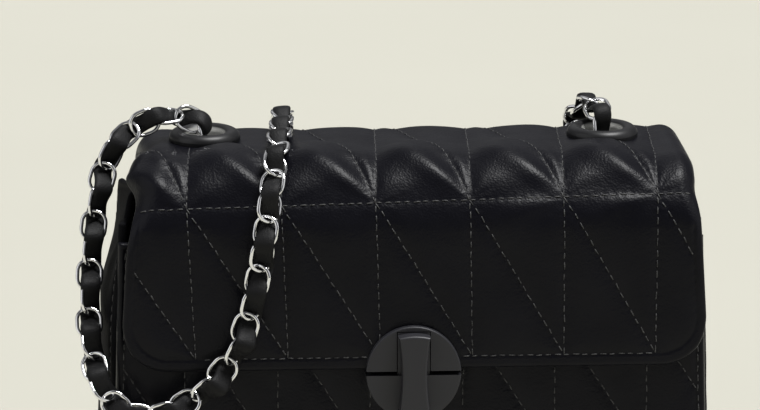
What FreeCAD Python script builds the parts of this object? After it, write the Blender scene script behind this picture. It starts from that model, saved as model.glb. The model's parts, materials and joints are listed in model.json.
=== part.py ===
"""Chain shoulder bag: quilted flap bag with eyelets, turn lock and a laced chain strap.

The origin is the middle of the base, +Z is up, the flap's front faces -Y. Lengths are in millimetres.
"""
import FreeCAD
import Part
import math
import os
import Sketcher

Vector = FreeCAD.Vector

DIMENSIONS = {
    # Body
    "base_half_width": 103.0,
    "mouth_taper": 3.0,
    "body_depth": 70.0,
    "front_height": 110.0,
    "panel_thickness": 4.0,
    "panel_edge_round": 1.5,
    "base_thickness": 3.0,
    "base_edge_round": 1.0,
    "board_thickness": 2.0,
    "board_inset": 5.0,
    "gusset_rise": 6.0,
    "gusset_thickness": 2.4,
    "gusset_fold": 6.0,
    "lining_thickness": 1.0,
    "lock_room": 4.0,
    "fit_gap": 0.3,
    "overrun": 5.0,
    # Flap
    "flap_skin": 4.2,
    "flap_lining": 0.8,
    "layer_gap": 0.1,
    "flap_gap": 0.6,
    "hinge_drop": 9.4,
    "hinge_clearance": 0.4,
    "hinge_edge_round": 2.5,
    "crown_rise": 29.4,
    "crown_rear_radius": 16.0,
    "crown_slope": 4.0,
    "crown_front_radius": 24.2,
    "flap_edge_rise": 2.0,
    "flap_side_inset": 3.2,
    "crown_side_inset": 6.0,
    "flap_corner_radius": 17.0,
    "crown_corner_radius": 10.5,
    "lining_inset": 2.5,
    # Quilting of the flap, measured on its unrolled outer face
    "quilt_pitch": 32.15,
    "quilt_shift": -12.7,
    "quilt_foot_lean": 1.4,
    "quilt_hem": 4.4,
    "quilt_row_run": 11.7,
    "quilt_row_tilt": 1.26,
    "quilt_rear_drop": 15.8,
    "quilt_depth": 1.6,
    "quilt_reach": 9.0,
    "quilt_row_depth": 1.3,
    "quilt_row_reach": 6.0,
    "quilt_front_depth": 0.8,
    "quilt_front_reach": 3.5,
    "quilt_lift": 0.3,
    "quilt_headroom": 3.0,
    "quilt_step": 6.0,
    "quilt_margin": 1.0,
    # Eyelets
    "eyelet_side_inset": 33.5,
    "eyelet_rear_gap": 0.5,
    "eyelet_outer_radius": 12.4,
    "eyelet_bore_radius": 6.6,
    "eyelet_height": 3.6,
    "eyelet_foot": 1.2,
    "barrel_wall": 0.9,
    "barrel_clearance": 0.2,
    "washer_radius": 11.0,
    "washer_thickness": 1.2,
    # Turn lock
    "lock_height": 65.0,
    "lock_radius": 16.3,
    "lock_split": 1.5,
    "plate_thickness": 2.5,
    "plate_edge_round": 0.6,
    "tongue_fit": 0.3,
    "groove_depth": 1.2,
    "bar_half_length": 14.2,
    "bar_end_width": 10.8,
    "bar_waist_width": 8.4,
    "bar_end_rise": 0.7,
    "bar_thickness": 5.4,
    "bar_edge_round": 0.9,
    "bar_gap": 0.4,
    "stem_radius": 2.0,
    "stem_fit": 0.05,
    "backing_width": 26.0,
    "backing_depth": 13.0,
    "backing_thickness": 1.2,
    "clip_radius": 4.0,
    "clip_thickness": 0.9,
    "fastener_radius": 1.0,
    "fastener_head_radius": 2.0,
    "fastener_head": 0.8,
    "fastener_bite": 1.2,
    "screw_spacing": 18.0,
    "screw_drop": 5.0,
    "rivet_spacing": 21.0,
    "rivet_rise": 6.0,
    # Strap anchors
    "tab_leather": 1.4,
    "tab_width": 9.0,
    "tab_length": 18.0,
    "ring_wire": 2.4,
    "ring_fit": 0.15,
    "ring_half_width": 7.0,
    "ring_corner_radius": 2.2,
    "ring_rise": 10.0,
    "ring_drop": 39.4,
    "ring_lean": 30.0,
    # Strap
    "link_pitch": 8.55,
    "link_slack": 0.66,
    "link_wire": 1.3,
    "link_width": 9.5,
    "link_roll": 28.0,
    "lace_radius": 0.65,
    "lace_rise": 2.3,
    "lace_flat": 3.2,
}

# The strap's route, from the left anchor ring over the flap and down the back to the right ring
STRAP_ROUTE = [
    (-84.7, 0.4, 106.4),
    (-81.8, 0.0, 112.8),
    (-78.4, 0.8, 118.6),
    (-74.2, 2.6, 123.6),
    (-70.6, 4.4, 128.8),
    (-69.0, 5.0, 134.6),
    (-69.2, 5.0, 141.0),
    (-72.8, 4.7, 146.6),
    (-80.2, 3.4, 147.8),
    (-87.6, 1.0, 146.6),
    (-94.8, -1.0, 144.0),
    (-100.0, -3.0, 139.4),
    (-103.4, -5.0, 133.2),
    (-105.8, -7.0, 126.5),
    (-107.4, -9.0, 119.0),
    (-108.4, -11.0, 111.7),
    (-109.4, -13.5, 104.5),
    (-110.0, -16.0, 97.3),
    (-110.4, -19.0, 89.5),
    (-110.5, -23.0, 81.8),
    (-110.2, -28.0, 75.0),
    (-109.2, -33.6, 68.8),
    (-107.6, -39.0, 63.2),
    (-104.9, -43.0, 57.9),
    (-100.2, -44.6, 53.3),
    (-93.5, -45.0, 51.2),
    (-86.7, -45.0, 51.8),
    (-80.5, -45.0, 54.3),
    (-74.5, -45.0, 58.2),
    (-68.6, -45.0, 63.0),
    (-63.6, -45.0, 68.6),
    (-60.0, -45.0, 75.2),
    (-57.2, -45.0, 82.4),
    (-55.1, -45.0, 90.0),
    (-53.2, -45.0, 98.3),
    (-51.7, -45.0, 106.9),
    (-50.3, -44.8, 115.6),
    (-48.8, -42.4, 125.2),
    (-47.2, -36.4, 133.8),
    (-45.8, -27.0, 139.6),
    (-44.6, -15.0, 141.2),
    (-43.4, -1.0, 142.2),
    (-42.2, 13.0, 143.4),
    (-41.6, 25.4, 143.6),
    (-41.2, 35.0, 138.2),
    (-41.0, 39.2, 129.2),
    (-41.2, 39.5, 118.0),
    (-41.6, 39.5, 106.0),
    (-41.6, 39.5, 92.0),
    (-39.6, 39.5, 77.0),
    (-34.6, 39.5, 61.0),
    (-25.4, 39.5, 46.6),
    (-11.6, 39.5, 37.4),
    (5.0, 39.5, 34.4),
    (21.6, 39.5, 37.4),
    (36.0, 39.5, 46.6),
    (46.4, 39.5, 61.0),
    (52.8, 39.5, 77.0),
    (56.6, 39.5, 92.0),
    (58.8, 39.5, 106.0),
    (60.2, 39.5, 118.0),
    (61.4, 38.8, 129.4),
    (62.8, 35.0, 138.6),
    (64.4, 28.4, 144.4),
    (66.2, 20.0, 147.8),
    (67.8, 12.2, 148.8),
    (69.2, 6.6, 146.0),
    (69.6, 5.0, 140.4),
    (69.6, 4.9, 133.6),
    (71.6, 4.0, 127.4),
    (75.4, 2.6, 121.8),
    (79.2, 1.4, 116.4),
    (82.3, 0.6, 111.6),
    (84.5, 0.3, 107.0),
]

# Stretches of the strap, each with the share of its length at which it ends: inside up to the left eyelet,
# over the flap, over the hinge edge, down the back and up again, and the same way to the right ring
STRETCH_SHARES = [
    ("inner", 0.0494),
    ("on_flap", 0.5062),
    ("over_edge", 0.5802),
    ("rear", 0.8272),
    ("over_edge", 0.9012),
    ("on_flap", 0.9506),
    ("inner", 1.0),
]

# How far the strap is twisted about its own line, in degrees, at shares of its length
TWIST_SHARES = [
    (0.0, 5.0), (0.0617, 52.0), (0.1358, -8.0), (0.2, -8.0),
    (0.321, 72.0), (0.358, 42.0), (0.86, 42.0), (1.0, 80.0),
]

# Edges nearer than this to a level lie on it
TOLERANCE = 1e-4

doc = FreeCAD.newDocument("chain_shoulder_bag")
size = doc.addObject("Spreadsheet::Sheet", "size")
for row, (alias, number) in enumerate(DIMENSIONS.items(), start=1):
    size.set(f"A{row}", alias)
    size.set(f"B{row}", str(number))
    size.setAlias(f"B{row}", alias)
doc.recompute()


def value(expression):
    """The present value of an expression in the sheet's names."""
    return float(size.evalExpression(expression))


# Places that several pieces share, as expressions
FRONT_FACE = "(size.body_depth / 2)"
CROWN_HEIGHT = "(size.front_height + size.crown_rise)"
HINGE_HEIGHT = f"({CROWN_HEIGHT} - size.crown_rear_radius - size.hinge_drop)"
GUSSET_HEIGHT = "(size.front_height + size.gusset_rise)"
FLAP_EDGE = "(size.lock_height + size.flap_edge_rise)"
EYELET_OFFSET = "(size.base_half_width - size.eyelet_side_inset)"
PANEL_BACK = f"({FRONT_FACE} - size.panel_thickness)"
FLAP_DEPTH = "(size.flap_skin + size.layer_gap + size.flap_lining)"
FLAP_FRONT = f"({FRONT_FACE} + size.flap_gap + {FLAP_DEPTH})"
PLATE_FRONT = f"({FLAP_FRONT} + size.plate_thickness)"
BAR_BACK = f"({PLATE_FRONT} + size.bar_gap)"
BACKING_FACE = f"({PANEL_BACK} - size.backing_thickness)"
BACK_TOP = f"({HINGE_HEIGHT} - size.flap_skin / 2 - size.hinge_clearance)"
FLOOR_TOP = "(size.base_thickness + size.board_thickness + size.fit_gap)"
REAR_CENTRE_Y = "(size.body_depth / 2 - size.crown_rear_radius)"
REAR_CENTRE_Z = f"({CROWN_HEIGHT} - size.crown_rear_radius)"
SLOPE_SIN = "sin(size.crown_slope)"
SLOPE_COS = "cos(size.crown_slope)"
CROWN_BACK_Y = f"({REAR_CENTRE_Y} - size.crown_rear_radius * {SLOPE_SIN})"
CROWN_BACK_Z = f"({REAR_CENTRE_Z} + size.crown_rear_radius * {SLOPE_COS})"
CROWN_FRONT_Y = f"(size.crown_front_radius * (1 - {SLOPE_SIN}) - {FLAP_FRONT})"
CROWN_FRONT_Z = f"({CROWN_BACK_Z} - ({CROWN_BACK_Y} - {CROWN_FRONT_Y}) * {SLOPE_SIN} / {SLOPE_COS})"
FRONT_CENTRE_Z = f"({CROWN_FRONT_Z} - size.crown_front_radius * {SLOPE_COS})"
SEAT_GAP = "(size.eyelet_outer_radius + size.eyelet_rear_gap)"
SEAT_Y = f"({CROWN_BACK_Y} - {SEAT_GAP} * {SLOPE_COS})"
SEAT_Z = f"({CROWN_BACK_Z} - {SEAT_GAP} * {SLOPE_SIN})"
WALL_HEIGHT = f"({GUSSET_HEIGHT} - size.base_thickness)"
RING_HEIGHT = f"({CROWN_HEIGHT} - size.ring_drop)"
LOOP_RADIUS = "(size.ring_wire / 2 + size.ring_fit + size.tab_leather)"


def wall_edge(height):
    """Half width of the gusset's outer edges at a height."""
    rise = f"(({height}) - size.base_thickness) / {WALL_HEIGHT}"
    return f"(size.base_half_width - size.mouth_taper * {rise})"


def wall_fold(height):
    """Half width of the gusset's outer face on its middle fold at a height."""
    rise = f"(({height}) - size.base_thickness) / {WALL_HEIGHT}"
    return f"({wall_edge(height)} - size.gusset_fold * {rise})"


def new_body(label):
    body = doc.addObject("PartDesign::Body", label)
    body.Label = label
    return body


def new_sketch(body, name, plane, offset="0"):
    """A sketch on one of the body's own planes, moved along that plane's normal."""
    sketch = body.newObject("Sketcher::SketchObject", f"{body.Name}_{name}")
    support = next(item for item in body.Origin.OriginFeatures if item.Role == plane)
    sketch.AttachmentSupport = [(support, "")]
    sketch.MapMode = "FlatFace"
    sketch.setExpression("AttachmentOffset.Base.z", offset)
    return sketch


def bind(sketch, kind, *where, to):
    """Add one dimension to a sketch and bind it to an expression."""
    index = sketch.addConstraint(Sketcher.Constraint(kind, *where, value(to)))
    sketch.setExpression(f"Constraints[{index}]", to)


def pin(sketch, geometry, point, across, up):
    """Fix a point of a sketch at two expressions measured from the sketch's origin."""
    bind(sketch, "DistanceX", -1, 1, geometry, point, to=across)
    bind(sketch, "DistanceY", -1, 1, geometry, point, to=up)


def arc_through(start, end, radius, turn):
    """Arc of under half a circle; a turn of 1 bends to the left and -1 to the right."""
    first, last = (start, end) if turn > 0 else (end, start)
    chord = last - first
    rise = math.sqrt(max(radius ** 2 - (chord.Length / 2) ** 2, 0))
    left = Vector(-chord.y, chord.x, 0).normalize()
    centre = (first + last) * 0.5 + left * rise
    angles = [math.atan2(spot.y - centre.y, spot.x - centre.x) for spot in (first, last)]
    return Part.ArcOfCircle(Part.Circle(centre, Vector(0, 0, 1), radius), *angles)


def add_loop(sketch, corners):
    """Close a loop of corners (across, up) or (across, up, radius, turn of the arc that follows)."""
    spots = [Vector(value(corner[0]), value(corner[1]), 0) for corner in corners]
    first = sketch.GeometryCount
    ends = []
    for index, corner in enumerate(corners):
        start, end = spots[index], spots[(index + 1) % len(corners)]
        if len(corner) == 2:
            sketch.addGeometry(Part.LineSegment(start, end), False)
            ends.append((1, 2))
        else:
            sketch.addGeometry(arc_through(start, end, value(corner[2]), corner[3]), False)
            ends.append((1, 2) if corner[3] > 0 else (2, 1))
    for index, corner in enumerate(corners):
        after = (index + 1) % len(corners)
        place = ("Coincident", first + index, ends[index][1], first + after, ends[after][0])
        sketch.addConstraint(Sketcher.Constraint(*place))
    for index, corner in enumerate(corners):
        pin(sketch, first + index, ends[index][0], corner[0], corner[1])
        if len(corner) > 2:
            bind(sketch, "Radius", first + index, to=corner[2])


def add_circle(sketch, across, up, radius):
    spot = Vector(value(across), value(up), 0)
    index = sketch.addGeometry(Part.Circle(spot, Vector(0, 0, 1), value(radius)), False)
    pin(sketch, index, 3, across, up)
    bind(sketch, "Radius", index, to=radius)


def rectangle(left, right, bottom, top):
    return [(left, bottom), (right, bottom), (right, top), (left, top)]


def extrude(body, kind, sketch, length, reverse=False, both=False):
    """Pad or pocket a sketch by a length, along its normal, against it, or half each way."""
    feature = body.newObject(f"PartDesign::{kind}", f"{sketch.Name}_{kind}")
    feature.Profile = sketch
    feature.setExpression("Length", length)
    feature.Reversed = reverse
    if both:
        feature.SideType = "Symmetric"
    doc.recompute()
    return feature


def loft(body, kind, lower, upper):
    feature = body.newObject(f"PartDesign::{kind}", f"{lower.Name}_{kind}")
    feature.Profile = lower
    feature.Sections = [upper]
    feature.Ruled = True
    doc.recompute()
    return feature


def round_edges(body, feature, radius, wanted):
    """Fillet the edges of a feature for which wanted(edge) holds."""
    names = [f"Edge{n}" for n, edge in enumerate(feature.Shape.Edges, start=1) if wanted(edge)]
    fillet = body.newObject("PartDesign::Fillet", f"{feature.Name}_round")
    fillet.Base = (feature, names)
    fillet.setExpression("Radius", radius)
    doc.recompute()
    return fillet


def lies_on(edge, axis, level):
    """True where the whole edge lies at one level along an axis."""
    box = edge.BoundBox
    low, high = {"x": (box.XMin, box.XMax), "y": (box.YMin, box.YMax), "z": (box.ZMin, box.ZMax)}[axis]
    return abs(low - level) < TOLERANCE and abs(high - level) < TOLERANCE


def revolve(body, sketch):
    feature = body.newObject("PartDesign::Revolution", f"{sketch.Name}_turned")
    feature.Profile = sketch
    feature.ReferenceAxis = (sketch, ["V_Axis"])
    feature.Angle = 360
    doc.recompute()
    return feature


def seat(body, across, back, up):
    """Put a body's own origin at a place given by expressions."""
    body.setExpression("Placement.Base.x", across)
    body.setExpression("Placement.Base.y", back)
    body.setExpression("Placement.Base.z", up)


def wall_panel(label, face, thickness, top):
    """Trapezoid panel that stands on the base and follows the gussets' lean."""
    body = new_body(label)
    sketch = new_sketch(body, "outline", "XZ_Plane", face)
    top_edge = wall_edge(top)
    foot_edge = wall_edge("0")
    add_loop(sketch, [
        (f"-{foot_edge}", "0"), (foot_edge, "0"), (top_edge, top), (f"-{top_edge}", top),
    ])
    return body, extrude(body, "Pad", sketch, thickness)


def fastener_places(spacing, height):
    return [(f"-{spacing} / 2", height), (f"{spacing} / 2", height)]


SCREW_HEIGHT = "(size.lock_height - size.screw_drop)"
RIVET_HEIGHT = "(size.lock_height + size.rivet_rise)"
SCREW_PLACES = fastener_places("size.screw_spacing", SCREW_HEIGHT)
RIVET_PLACES = fastener_places("size.rivet_spacing", RIVET_HEIGHT)
HOLE_RADIUS = "(size.fastener_radius + size.stem_fit)"


def drill(body, name, face, depth, places, radius):
    """Round holes cut from a face towards the back."""
    sketch = new_sketch(body, name, "XZ_Plane", face)
    for across, up in places:
        add_circle(sketch, across, up, radius)
    return extrude(body, "Pocket", sketch, depth)


def make_front_panel():
    body, panel = wall_panel("front_panel", PANEL_BACK, "size.panel_thickness", "size.front_height")
    face = -value(FRONT_FACE)
    top = value("size.front_height")
    round_edges(body, panel, "size.panel_edge_round",
                lambda edge: lies_on(edge, "z", top) and lies_on(edge, "y", face))
    start = f"({FRONT_FACE} + size.overrun)"
    depth = "(size.panel_thickness + 2 * size.overrun)"
    drill(body, "stem_hole", start, depth, [("0", "size.lock_height")], "(size.stem_radius + size.fit_gap)")
    drill(body, "screw_holes", start, depth, SCREW_PLACES, HOLE_RADIUS)


def make_back_panel():
    body, panel = wall_panel("back_panel", f"-{FRONT_FACE}", "size.flap_skin", BACK_TOP)
    face = value(FRONT_FACE)
    top = value(BACK_TOP)
    round_edges(body, panel, "size.hinge_edge_round",
                lambda edge: lies_on(edge, "z", top) and lies_on(edge, "y", face))


BACK_INNER = f"({FRONT_FACE} - size.flap_skin)"


def make_base_panel():
    body = new_body("base_panel")
    sketch = new_sketch(body, "outline", "XY_Plane")
    half = "size.base_half_width"
    add_loop(sketch, rectangle(f"-{half}", half, f"-{PANEL_BACK}", BACK_INNER))
    slab = extrude(body, "Pad", sketch, "size.base_thickness")
    ends = value(half)
    round_edges(body, slab, "size.base_edge_round",
                lambda edge: lies_on(edge, "z", 0) and edge.BoundBox.XLength < TOLERANCE and
                abs(abs(edge.BoundBox.XMin) - ends) < TOLERANCE)


def make_base_board():
    body = new_body("base_board")
    sketch = new_sketch(body, "outline", "XY_Plane", "size.base_thickness")
    half = "(size.base_half_width - size.board_inset)"
    front = f"(-{PANEL_BACK} + size.lock_room)"
    back = f"({BACK_INNER} - size.board_inset)"
    add_loop(sketch, rectangle(f"-{half}", half, front, back))
    extrude(body, "Pad", sketch, "size.board_thickness")


GUSSET_FRONT = f"({PANEL_BACK} - size.fit_gap)"
GUSSET_BACK = f"({BACK_INNER} - size.fit_gap)"


def gusset_section(sketch, sign, height):
    """Folded strip: two edges at the panels and a fold that leans into the bag."""
    edge, fold = wall_edge(height), wall_fold(height)
    wall = "size.gusset_thickness"
    add_loop(sketch, [
        (f"{sign} * {edge}", f"-{GUSSET_FRONT}"), (f"{sign} * {fold}", "0"),
        (f"{sign} * {edge}", GUSSET_BACK),
        (f"{sign} * ({edge} - {wall})", GUSSET_BACK), (f"{sign} * ({fold} - {wall})", "0"),
        (f"{sign} * ({edge} - {wall})", f"-{GUSSET_FRONT}"),
    ])


def make_gusset(label, sign):
    body = new_body(label)
    levels = ("size.base_thickness", GUSSET_HEIGHT)
    lower, upper = (new_sketch(body, f"section_{n}", "XY_Plane", z) for n, z in enumerate(levels))
    gusset_section(lower, sign, levels[0])
    gusset_section(upper, sign, levels[1])
    loft(body, "AdditiveLoft", lower, upper)


LINING_FRONT = f"({PANEL_BACK} - size.lock_room)"
LINING_BACK = f"({BACK_INNER} - size.fit_gap)"


def lining_section(sketch, height, inset):
    """Six-sided plan of the lining, which follows the gussets' folds."""
    shift = f"(size.gusset_thickness + size.fit_gap + {inset})"
    front, back = f"({LINING_FRONT} - {inset})", f"({LINING_BACK} - {inset})"
    edge, fold = wall_edge(height), f"({wall_fold(height)} - {shift})"
    depth = f"({edge} - {wall_fold(height)})"
    front_edge = f"({edge} - {depth} * (1 - {front} / {GUSSET_FRONT}) - {shift})"
    back_edge = f"({edge} - {depth} * (1 - {back} / {GUSSET_BACK}) - {shift})"
    add_loop(sketch, [
        (f"-{front_edge}", f"-{front}"), (front_edge, f"-{front}"), (fold, "0"),
        (back_edge, back), (f"-{back_edge}", back), (f"-{fold}", "0"),
    ])


def make_lining():
    body = new_body("lining")
    levels = (FLOOR_TOP, "size.front_height")
    outer = [new_sketch(body, f"outer_{n}", "XY_Plane", z) for n, z in enumerate(levels)]
    for sketch, height in zip(outer, levels):
        lining_section(sketch, height, "0")
    loft(body, "AdditiveLoft", *outer)
    levels = (f"({FLOOR_TOP} + size.lining_thickness)", "(size.front_height + size.overrun)")
    inner = [new_sketch(body, f"inner_{n}", "XY_Plane", z) for n, z in enumerate(levels)]
    for sketch, height in zip(inner, levels):
        lining_section(sketch, height, "size.lining_thickness")
    loft(body, "SubtractiveLoft", *inner)


def flap_profile(near, far, rear_height, edge_height):
    """Side view of one flap layer, between two depths below the flap's outer face."""
    rear, front = "size.crown_rear_radius", "size.crown_front_radius"
    return [
        (f"size.body_depth / 2 - {near}", rear_height),
        (f"size.body_depth / 2 - {near}", REAR_CENTRE_Z, f"({rear} - {near})", 1),
        (f"{CROWN_BACK_Y} + {near} * {SLOPE_SIN}", f"{CROWN_BACK_Z} - {near} * {SLOPE_COS}"),
        (f"{CROWN_FRONT_Y} + {near} * {SLOPE_SIN}", f"{CROWN_FRONT_Z} - {near} * {SLOPE_COS}",
         f"({front} - {near})", 1),
        (f"-{FLAP_FRONT} + {near}", FRONT_CENTRE_Z),
        (f"-{FLAP_FRONT} + {near}", edge_height),
        (f"-{FLAP_FRONT} + {far}", edge_height),
        (f"-{FLAP_FRONT} + {far}", FRONT_CENTRE_Z, f"({front} - {far})", -1),
        (f"{CROWN_FRONT_Y} + {far} * {SLOPE_SIN}", f"{CROWN_FRONT_Z} - {far} * {SLOPE_COS}"),
        (f"{CROWN_BACK_Y} + {far} * {SLOPE_SIN}", f"{CROWN_BACK_Z} - {far} * {SLOPE_COS}",
         f"({rear} - {far})", -1),
        (f"size.body_depth / 2 - {far}", REAR_CENTRE_Z),
    ]


def flap_outline(inset):
    """Front view of the flap: wider at its lower edge, with rounded corners."""
    low = f"(size.base_half_width - size.flap_side_inset - {inset})"
    high = f"(size.base_half_width - size.crown_side_inset - {inset})"
    bottom = f"({FLAP_EDGE} + {inset})"
    top = f"({CROWN_HEIGHT} + size.overrun)"
    corner = f"(size.flap_corner_radius - {inset})"
    crown = "size.crown_corner_radius"
    shoulder = f"({CROWN_HEIGHT} - {crown})"
    return [
        (f"-{low} + {corner}", bottom), (f"{low} - {corner}", bottom, corner, 1),
        (low, f"{bottom} + {corner}"), (high, shoulder, crown, 1),
        (f"{high} - {crown}", CROWN_HEIGHT), (f"{high} - {crown}", top),
        (f"-{high} + {crown}", top), (f"-{high} + {crown}", CROWN_HEIGHT, crown, 1),
        (f"-{high}", shoulder), (f"-{low}", f"{bottom} + {corner}", corner, 1),
    ]


NOTCH_HALF = "(size.bar_end_width / 2 + size.bar_gap)"
NOTCH_TOP = "(size.lock_height + size.bar_half_length + size.bar_gap)"


def trim_flap(body, inset):
    """Cut a flap layer to its front outline, notch it for the turn bar and open its eyelet holes."""
    sketch = new_sketch(body, "trim", "XZ_Plane")
    far = "(size.base_half_width + 2 * size.overrun)"
    add_loop(sketch, rectangle(f"-{far}", far, "0", f"({CROWN_HEIGHT} + 2 * size.overrun)"))
    add_loop(sketch, flap_outline(inset))
    reach = f"(2 * ({FLAP_FRONT} + size.overrun))"
    extrude(body, "Pocket", sketch, reach, both=True)
    notch = new_sketch(body, "notch", "XZ_Plane")
    half, top = f"({NOTCH_HALF} + {inset})", f"({NOTCH_TOP} + {inset})"
    add_loop(notch, rectangle(f"-{half}", half, f"{FLAP_EDGE} - size.overrun", top))
    extrude(body, "Pocket", notch, reach, both=True)
    holes = new_sketch(body, "eyelet_holes", "XY_Plane")
    tilt = FreeCAD.Rotation(Vector(1, 0, 0), value("size.crown_slope"))
    holes.AttachmentOffset = FreeCAD.Placement(Vector(), tilt)
    holes.setExpression("AttachmentOffset.Base.y", SEAT_Y)
    holes.setExpression("AttachmentOffset.Base.z", SEAT_Z)
    holes.setExpression("AttachmentOffset.Rotation.Angle", "size.crown_slope")
    radius = "(size.eyelet_bore_radius + size.barrel_wall + size.barrel_clearance)"
    for sign in ("-1", "1"):
        add_circle(holes, f"{sign} * {EYELET_OFFSET}", "0", radius)
    return extrude(body, "Pocket", holes, f"(2 * ({FLAP_DEPTH} + size.overrun))", both=True)


FRONT_RUN = "(size.crown_front_radius * (90 - size.crown_slope) * pi / 180)"
FLAT_RUN = f"(({CROWN_BACK_Y} - {CROWN_FRONT_Y}) / {SLOPE_COS})"


def flap_sheet():
    """Function that bends the unrolled flap: a place across, a run up from the crown's bend and a lift."""
    slope = math.radians(value("size.crown_slope"))
    front, rear = value("size.crown_front_radius"), value("size.crown_rear_radius")
    front_run = front * (math.pi / 2 - slope)
    flat_run = value(FLAT_RUN)
    front_centre = Vector(0, front - value(FLAP_FRONT), value(FRONT_CENTRE_Z))
    rear_centre = Vector(0, value(REAR_CENTRE_Y), value(REAR_CENTRE_Z))
    flat_start = Vector(0, value(CROWN_FRONT_Y), value(CROWN_FRONT_Z))

    def spot(place, lift):
        across, run = Vector(place.x, 0, 0), place.y
        if run < 0:
            return front_centre + across + Vector(0, -front - lift, run)
        if run < front_run:
            out = Vector(0, -math.cos(run / front), math.sin(run / front))
            return front_centre + across + out * (front + lift)
        if run < front_run + flat_run:
            out = Vector(0, -math.sin(slope), math.cos(slope))
            ahead = Vector(0, math.cos(slope), math.sin(slope)) * (run - front_run)
            return flat_start + across + ahead + out * lift
        turn = math.pi / 2 + slope - (run - front_run - flat_run) / rear
        return rear_centre + across + Vector(0, math.cos(turn), math.sin(turn)) * (rear + lift)

    return spot


def seam_groove(spot, start, end, depth, reach):
    """Shallow valley along a straight stitch line of the unrolled flap."""
    line = end - start
    across = Vector(line.y, -line.x, 0).normalize() * reach
    lift, headroom = value("size.quilt_lift"), value("size.quilt_headroom")
    steps = math.ceil(line.Length / value("size.quilt_step"))
    sections = []
    for index in range(steps + 1):
        middle = start + line * (index / steps)
        corners = [spot(middle, -depth), spot(middle + across, lift),
                   spot(middle, headroom), spot(middle - across, lift)]
        sections.append(Part.makePolygon(corners + corners[:1]))
    return Part.makeLoft(sections, True, False)


def quilt_lines():
    """Stitch lines of the unrolled flap, as start, end, depth and reach of their valleys."""
    pitch, shift = value("size.quilt_pitch"), value("size.quilt_shift")
    row, tilt = value("size.quilt_row_run"), math.tan(math.radians(value("size.quilt_row_tilt")))
    rear = value(f"{FRONT_RUN} + {FLAT_RUN} + size.quilt_rear_drop")
    hem = value(f"{FLAP_EDGE} + size.quilt_hem - {FRONT_CENTRE_Z}")
    lean = value("size.quilt_foot_lean")
    beyond = math.ceil(value("size.base_half_width") / pitch)
    places = [shift + pitch * number for number in range(-beyond, beyond + 1)]
    crossings = [Vector(place, row + tilt * place, 0) for place in places]
    crown = value("size.quilt_depth"), value("size.quilt_reach")
    front = value("size.quilt_front_depth"), value("size.quilt_front_reach")
    rows = value("size.quilt_row_depth"), value("size.quilt_row_reach")
    lines = [(crossings[0], crossings[-1], *rows)]
    lines.append((Vector(places[0], rear, 0), Vector(places[-1], rear, 0), *rows))
    half = value("size.base_half_width - size.crown_side_inset")
    for left, crossing in zip([None] + crossings, crossings):
        if abs(crossing.x) < half:
            lines.append((crossing, Vector(crossing.x, rear, 0), *crown))
            lines.append((Vector(crossing.x + lean, hem, 0), crossing, *front))
        if left and left.x < half and crossing.x > -half:
            lines.append((crossing, Vector(left.x, rear, 0), *crown))
            lines.append((Vector(crossing.x + lean, hem, 0), left, *front))
    return lines


def flat_seats():
    """Round places that stay flat: under the eyelets and under the lock's plate."""
    skin, over = value("size.flap_skin"), value("size.overrun")
    slope = math.radians(value("size.crown_slope"))
    up = Vector(0, -math.sin(slope), math.cos(slope))
    radius = value("size.eyelet_outer_radius + size.quilt_margin")
    seats = []
    for sign in (-1, 1):
        middle = Vector(sign * value(EYELET_OFFSET), value(SEAT_Y), value(SEAT_Z))
        seats.append(Part.makeCylinder(radius, skin + over, middle - up * skin, up))
    lock = Vector(0, -value(FLAP_FRONT) - over, value("size.lock_height"))
    radius = value("size.lock_radius + size.quilt_margin")
    seats.append(Part.makeCylinder(radius, skin + over, lock, Vector(0, 1, 0)))
    return seats


def quilt_flap(body):
    """The flap's outer panel: the plain skin with its quilting sunk into it."""
    spot = flap_sheet()
    seats = flat_seats()
    panel = body.Shape
    for line in quilt_lines():
        panel = panel.cut(seam_groove(spot, *line).cut(seats))
    new_feature("flap_panel", panel)


FLAP_BLANK = "flap_skin"


def make_flap_panel():
    body = new_body(FLAP_BLANK)
    profile = new_sketch(body, "profile", "YZ_Plane")
    middle = "size.body_depth / 2 - size.flap_skin / 2"
    roll = "size.flap_skin / 2"
    corners = flap_profile("0", "size.flap_skin", HINGE_HEIGHT, FLAP_EDGE)
    corners.append(("size.body_depth / 2 - size.flap_skin", HINGE_HEIGHT, roll, 1))
    corners.append((middle, f"{HINGE_HEIGHT} - {roll}", roll, 1))
    add_loop(profile, corners)
    extrude(body, "Pad", profile, "(2 * (size.base_half_width + size.overrun))", both=True)
    trim_flap(body, "0")
    back = f"({FLAP_FRONT} - size.flap_skin + size.fastener_head)"
    drill(body, "rivet_holes", f"({FLAP_FRONT} + size.overrun)", "(2 * size.overrun + size.flap_skin)",
          RIVET_PLACES, HOLE_RADIUS)
    drill(body, "rivet_seats", back, "size.overrun", RIVET_PLACES,
          "(size.fastener_head_radius + size.stem_fit)")
    quilt_flap(body)


def make_flap_lining():
    body = new_body("flap_lining")
    profile = new_sketch(body, "profile", "YZ_Plane")
    near = "(size.flap_skin + size.layer_gap)"
    rear = f"({HINGE_HEIGHT} + size.flap_skin / 2 + size.lining_inset / 2)"
    corners = flap_profile(near, FLAP_DEPTH, rear, FLAP_EDGE)
    corners.append((f"size.body_depth / 2 - {FLAP_DEPTH}", rear))
    add_loop(profile, corners)
    extrude(body, "Pad", profile, "(2 * (size.base_half_width + size.overrun))", both=True)
    trim_flap(body, "size.lining_inset")


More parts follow.
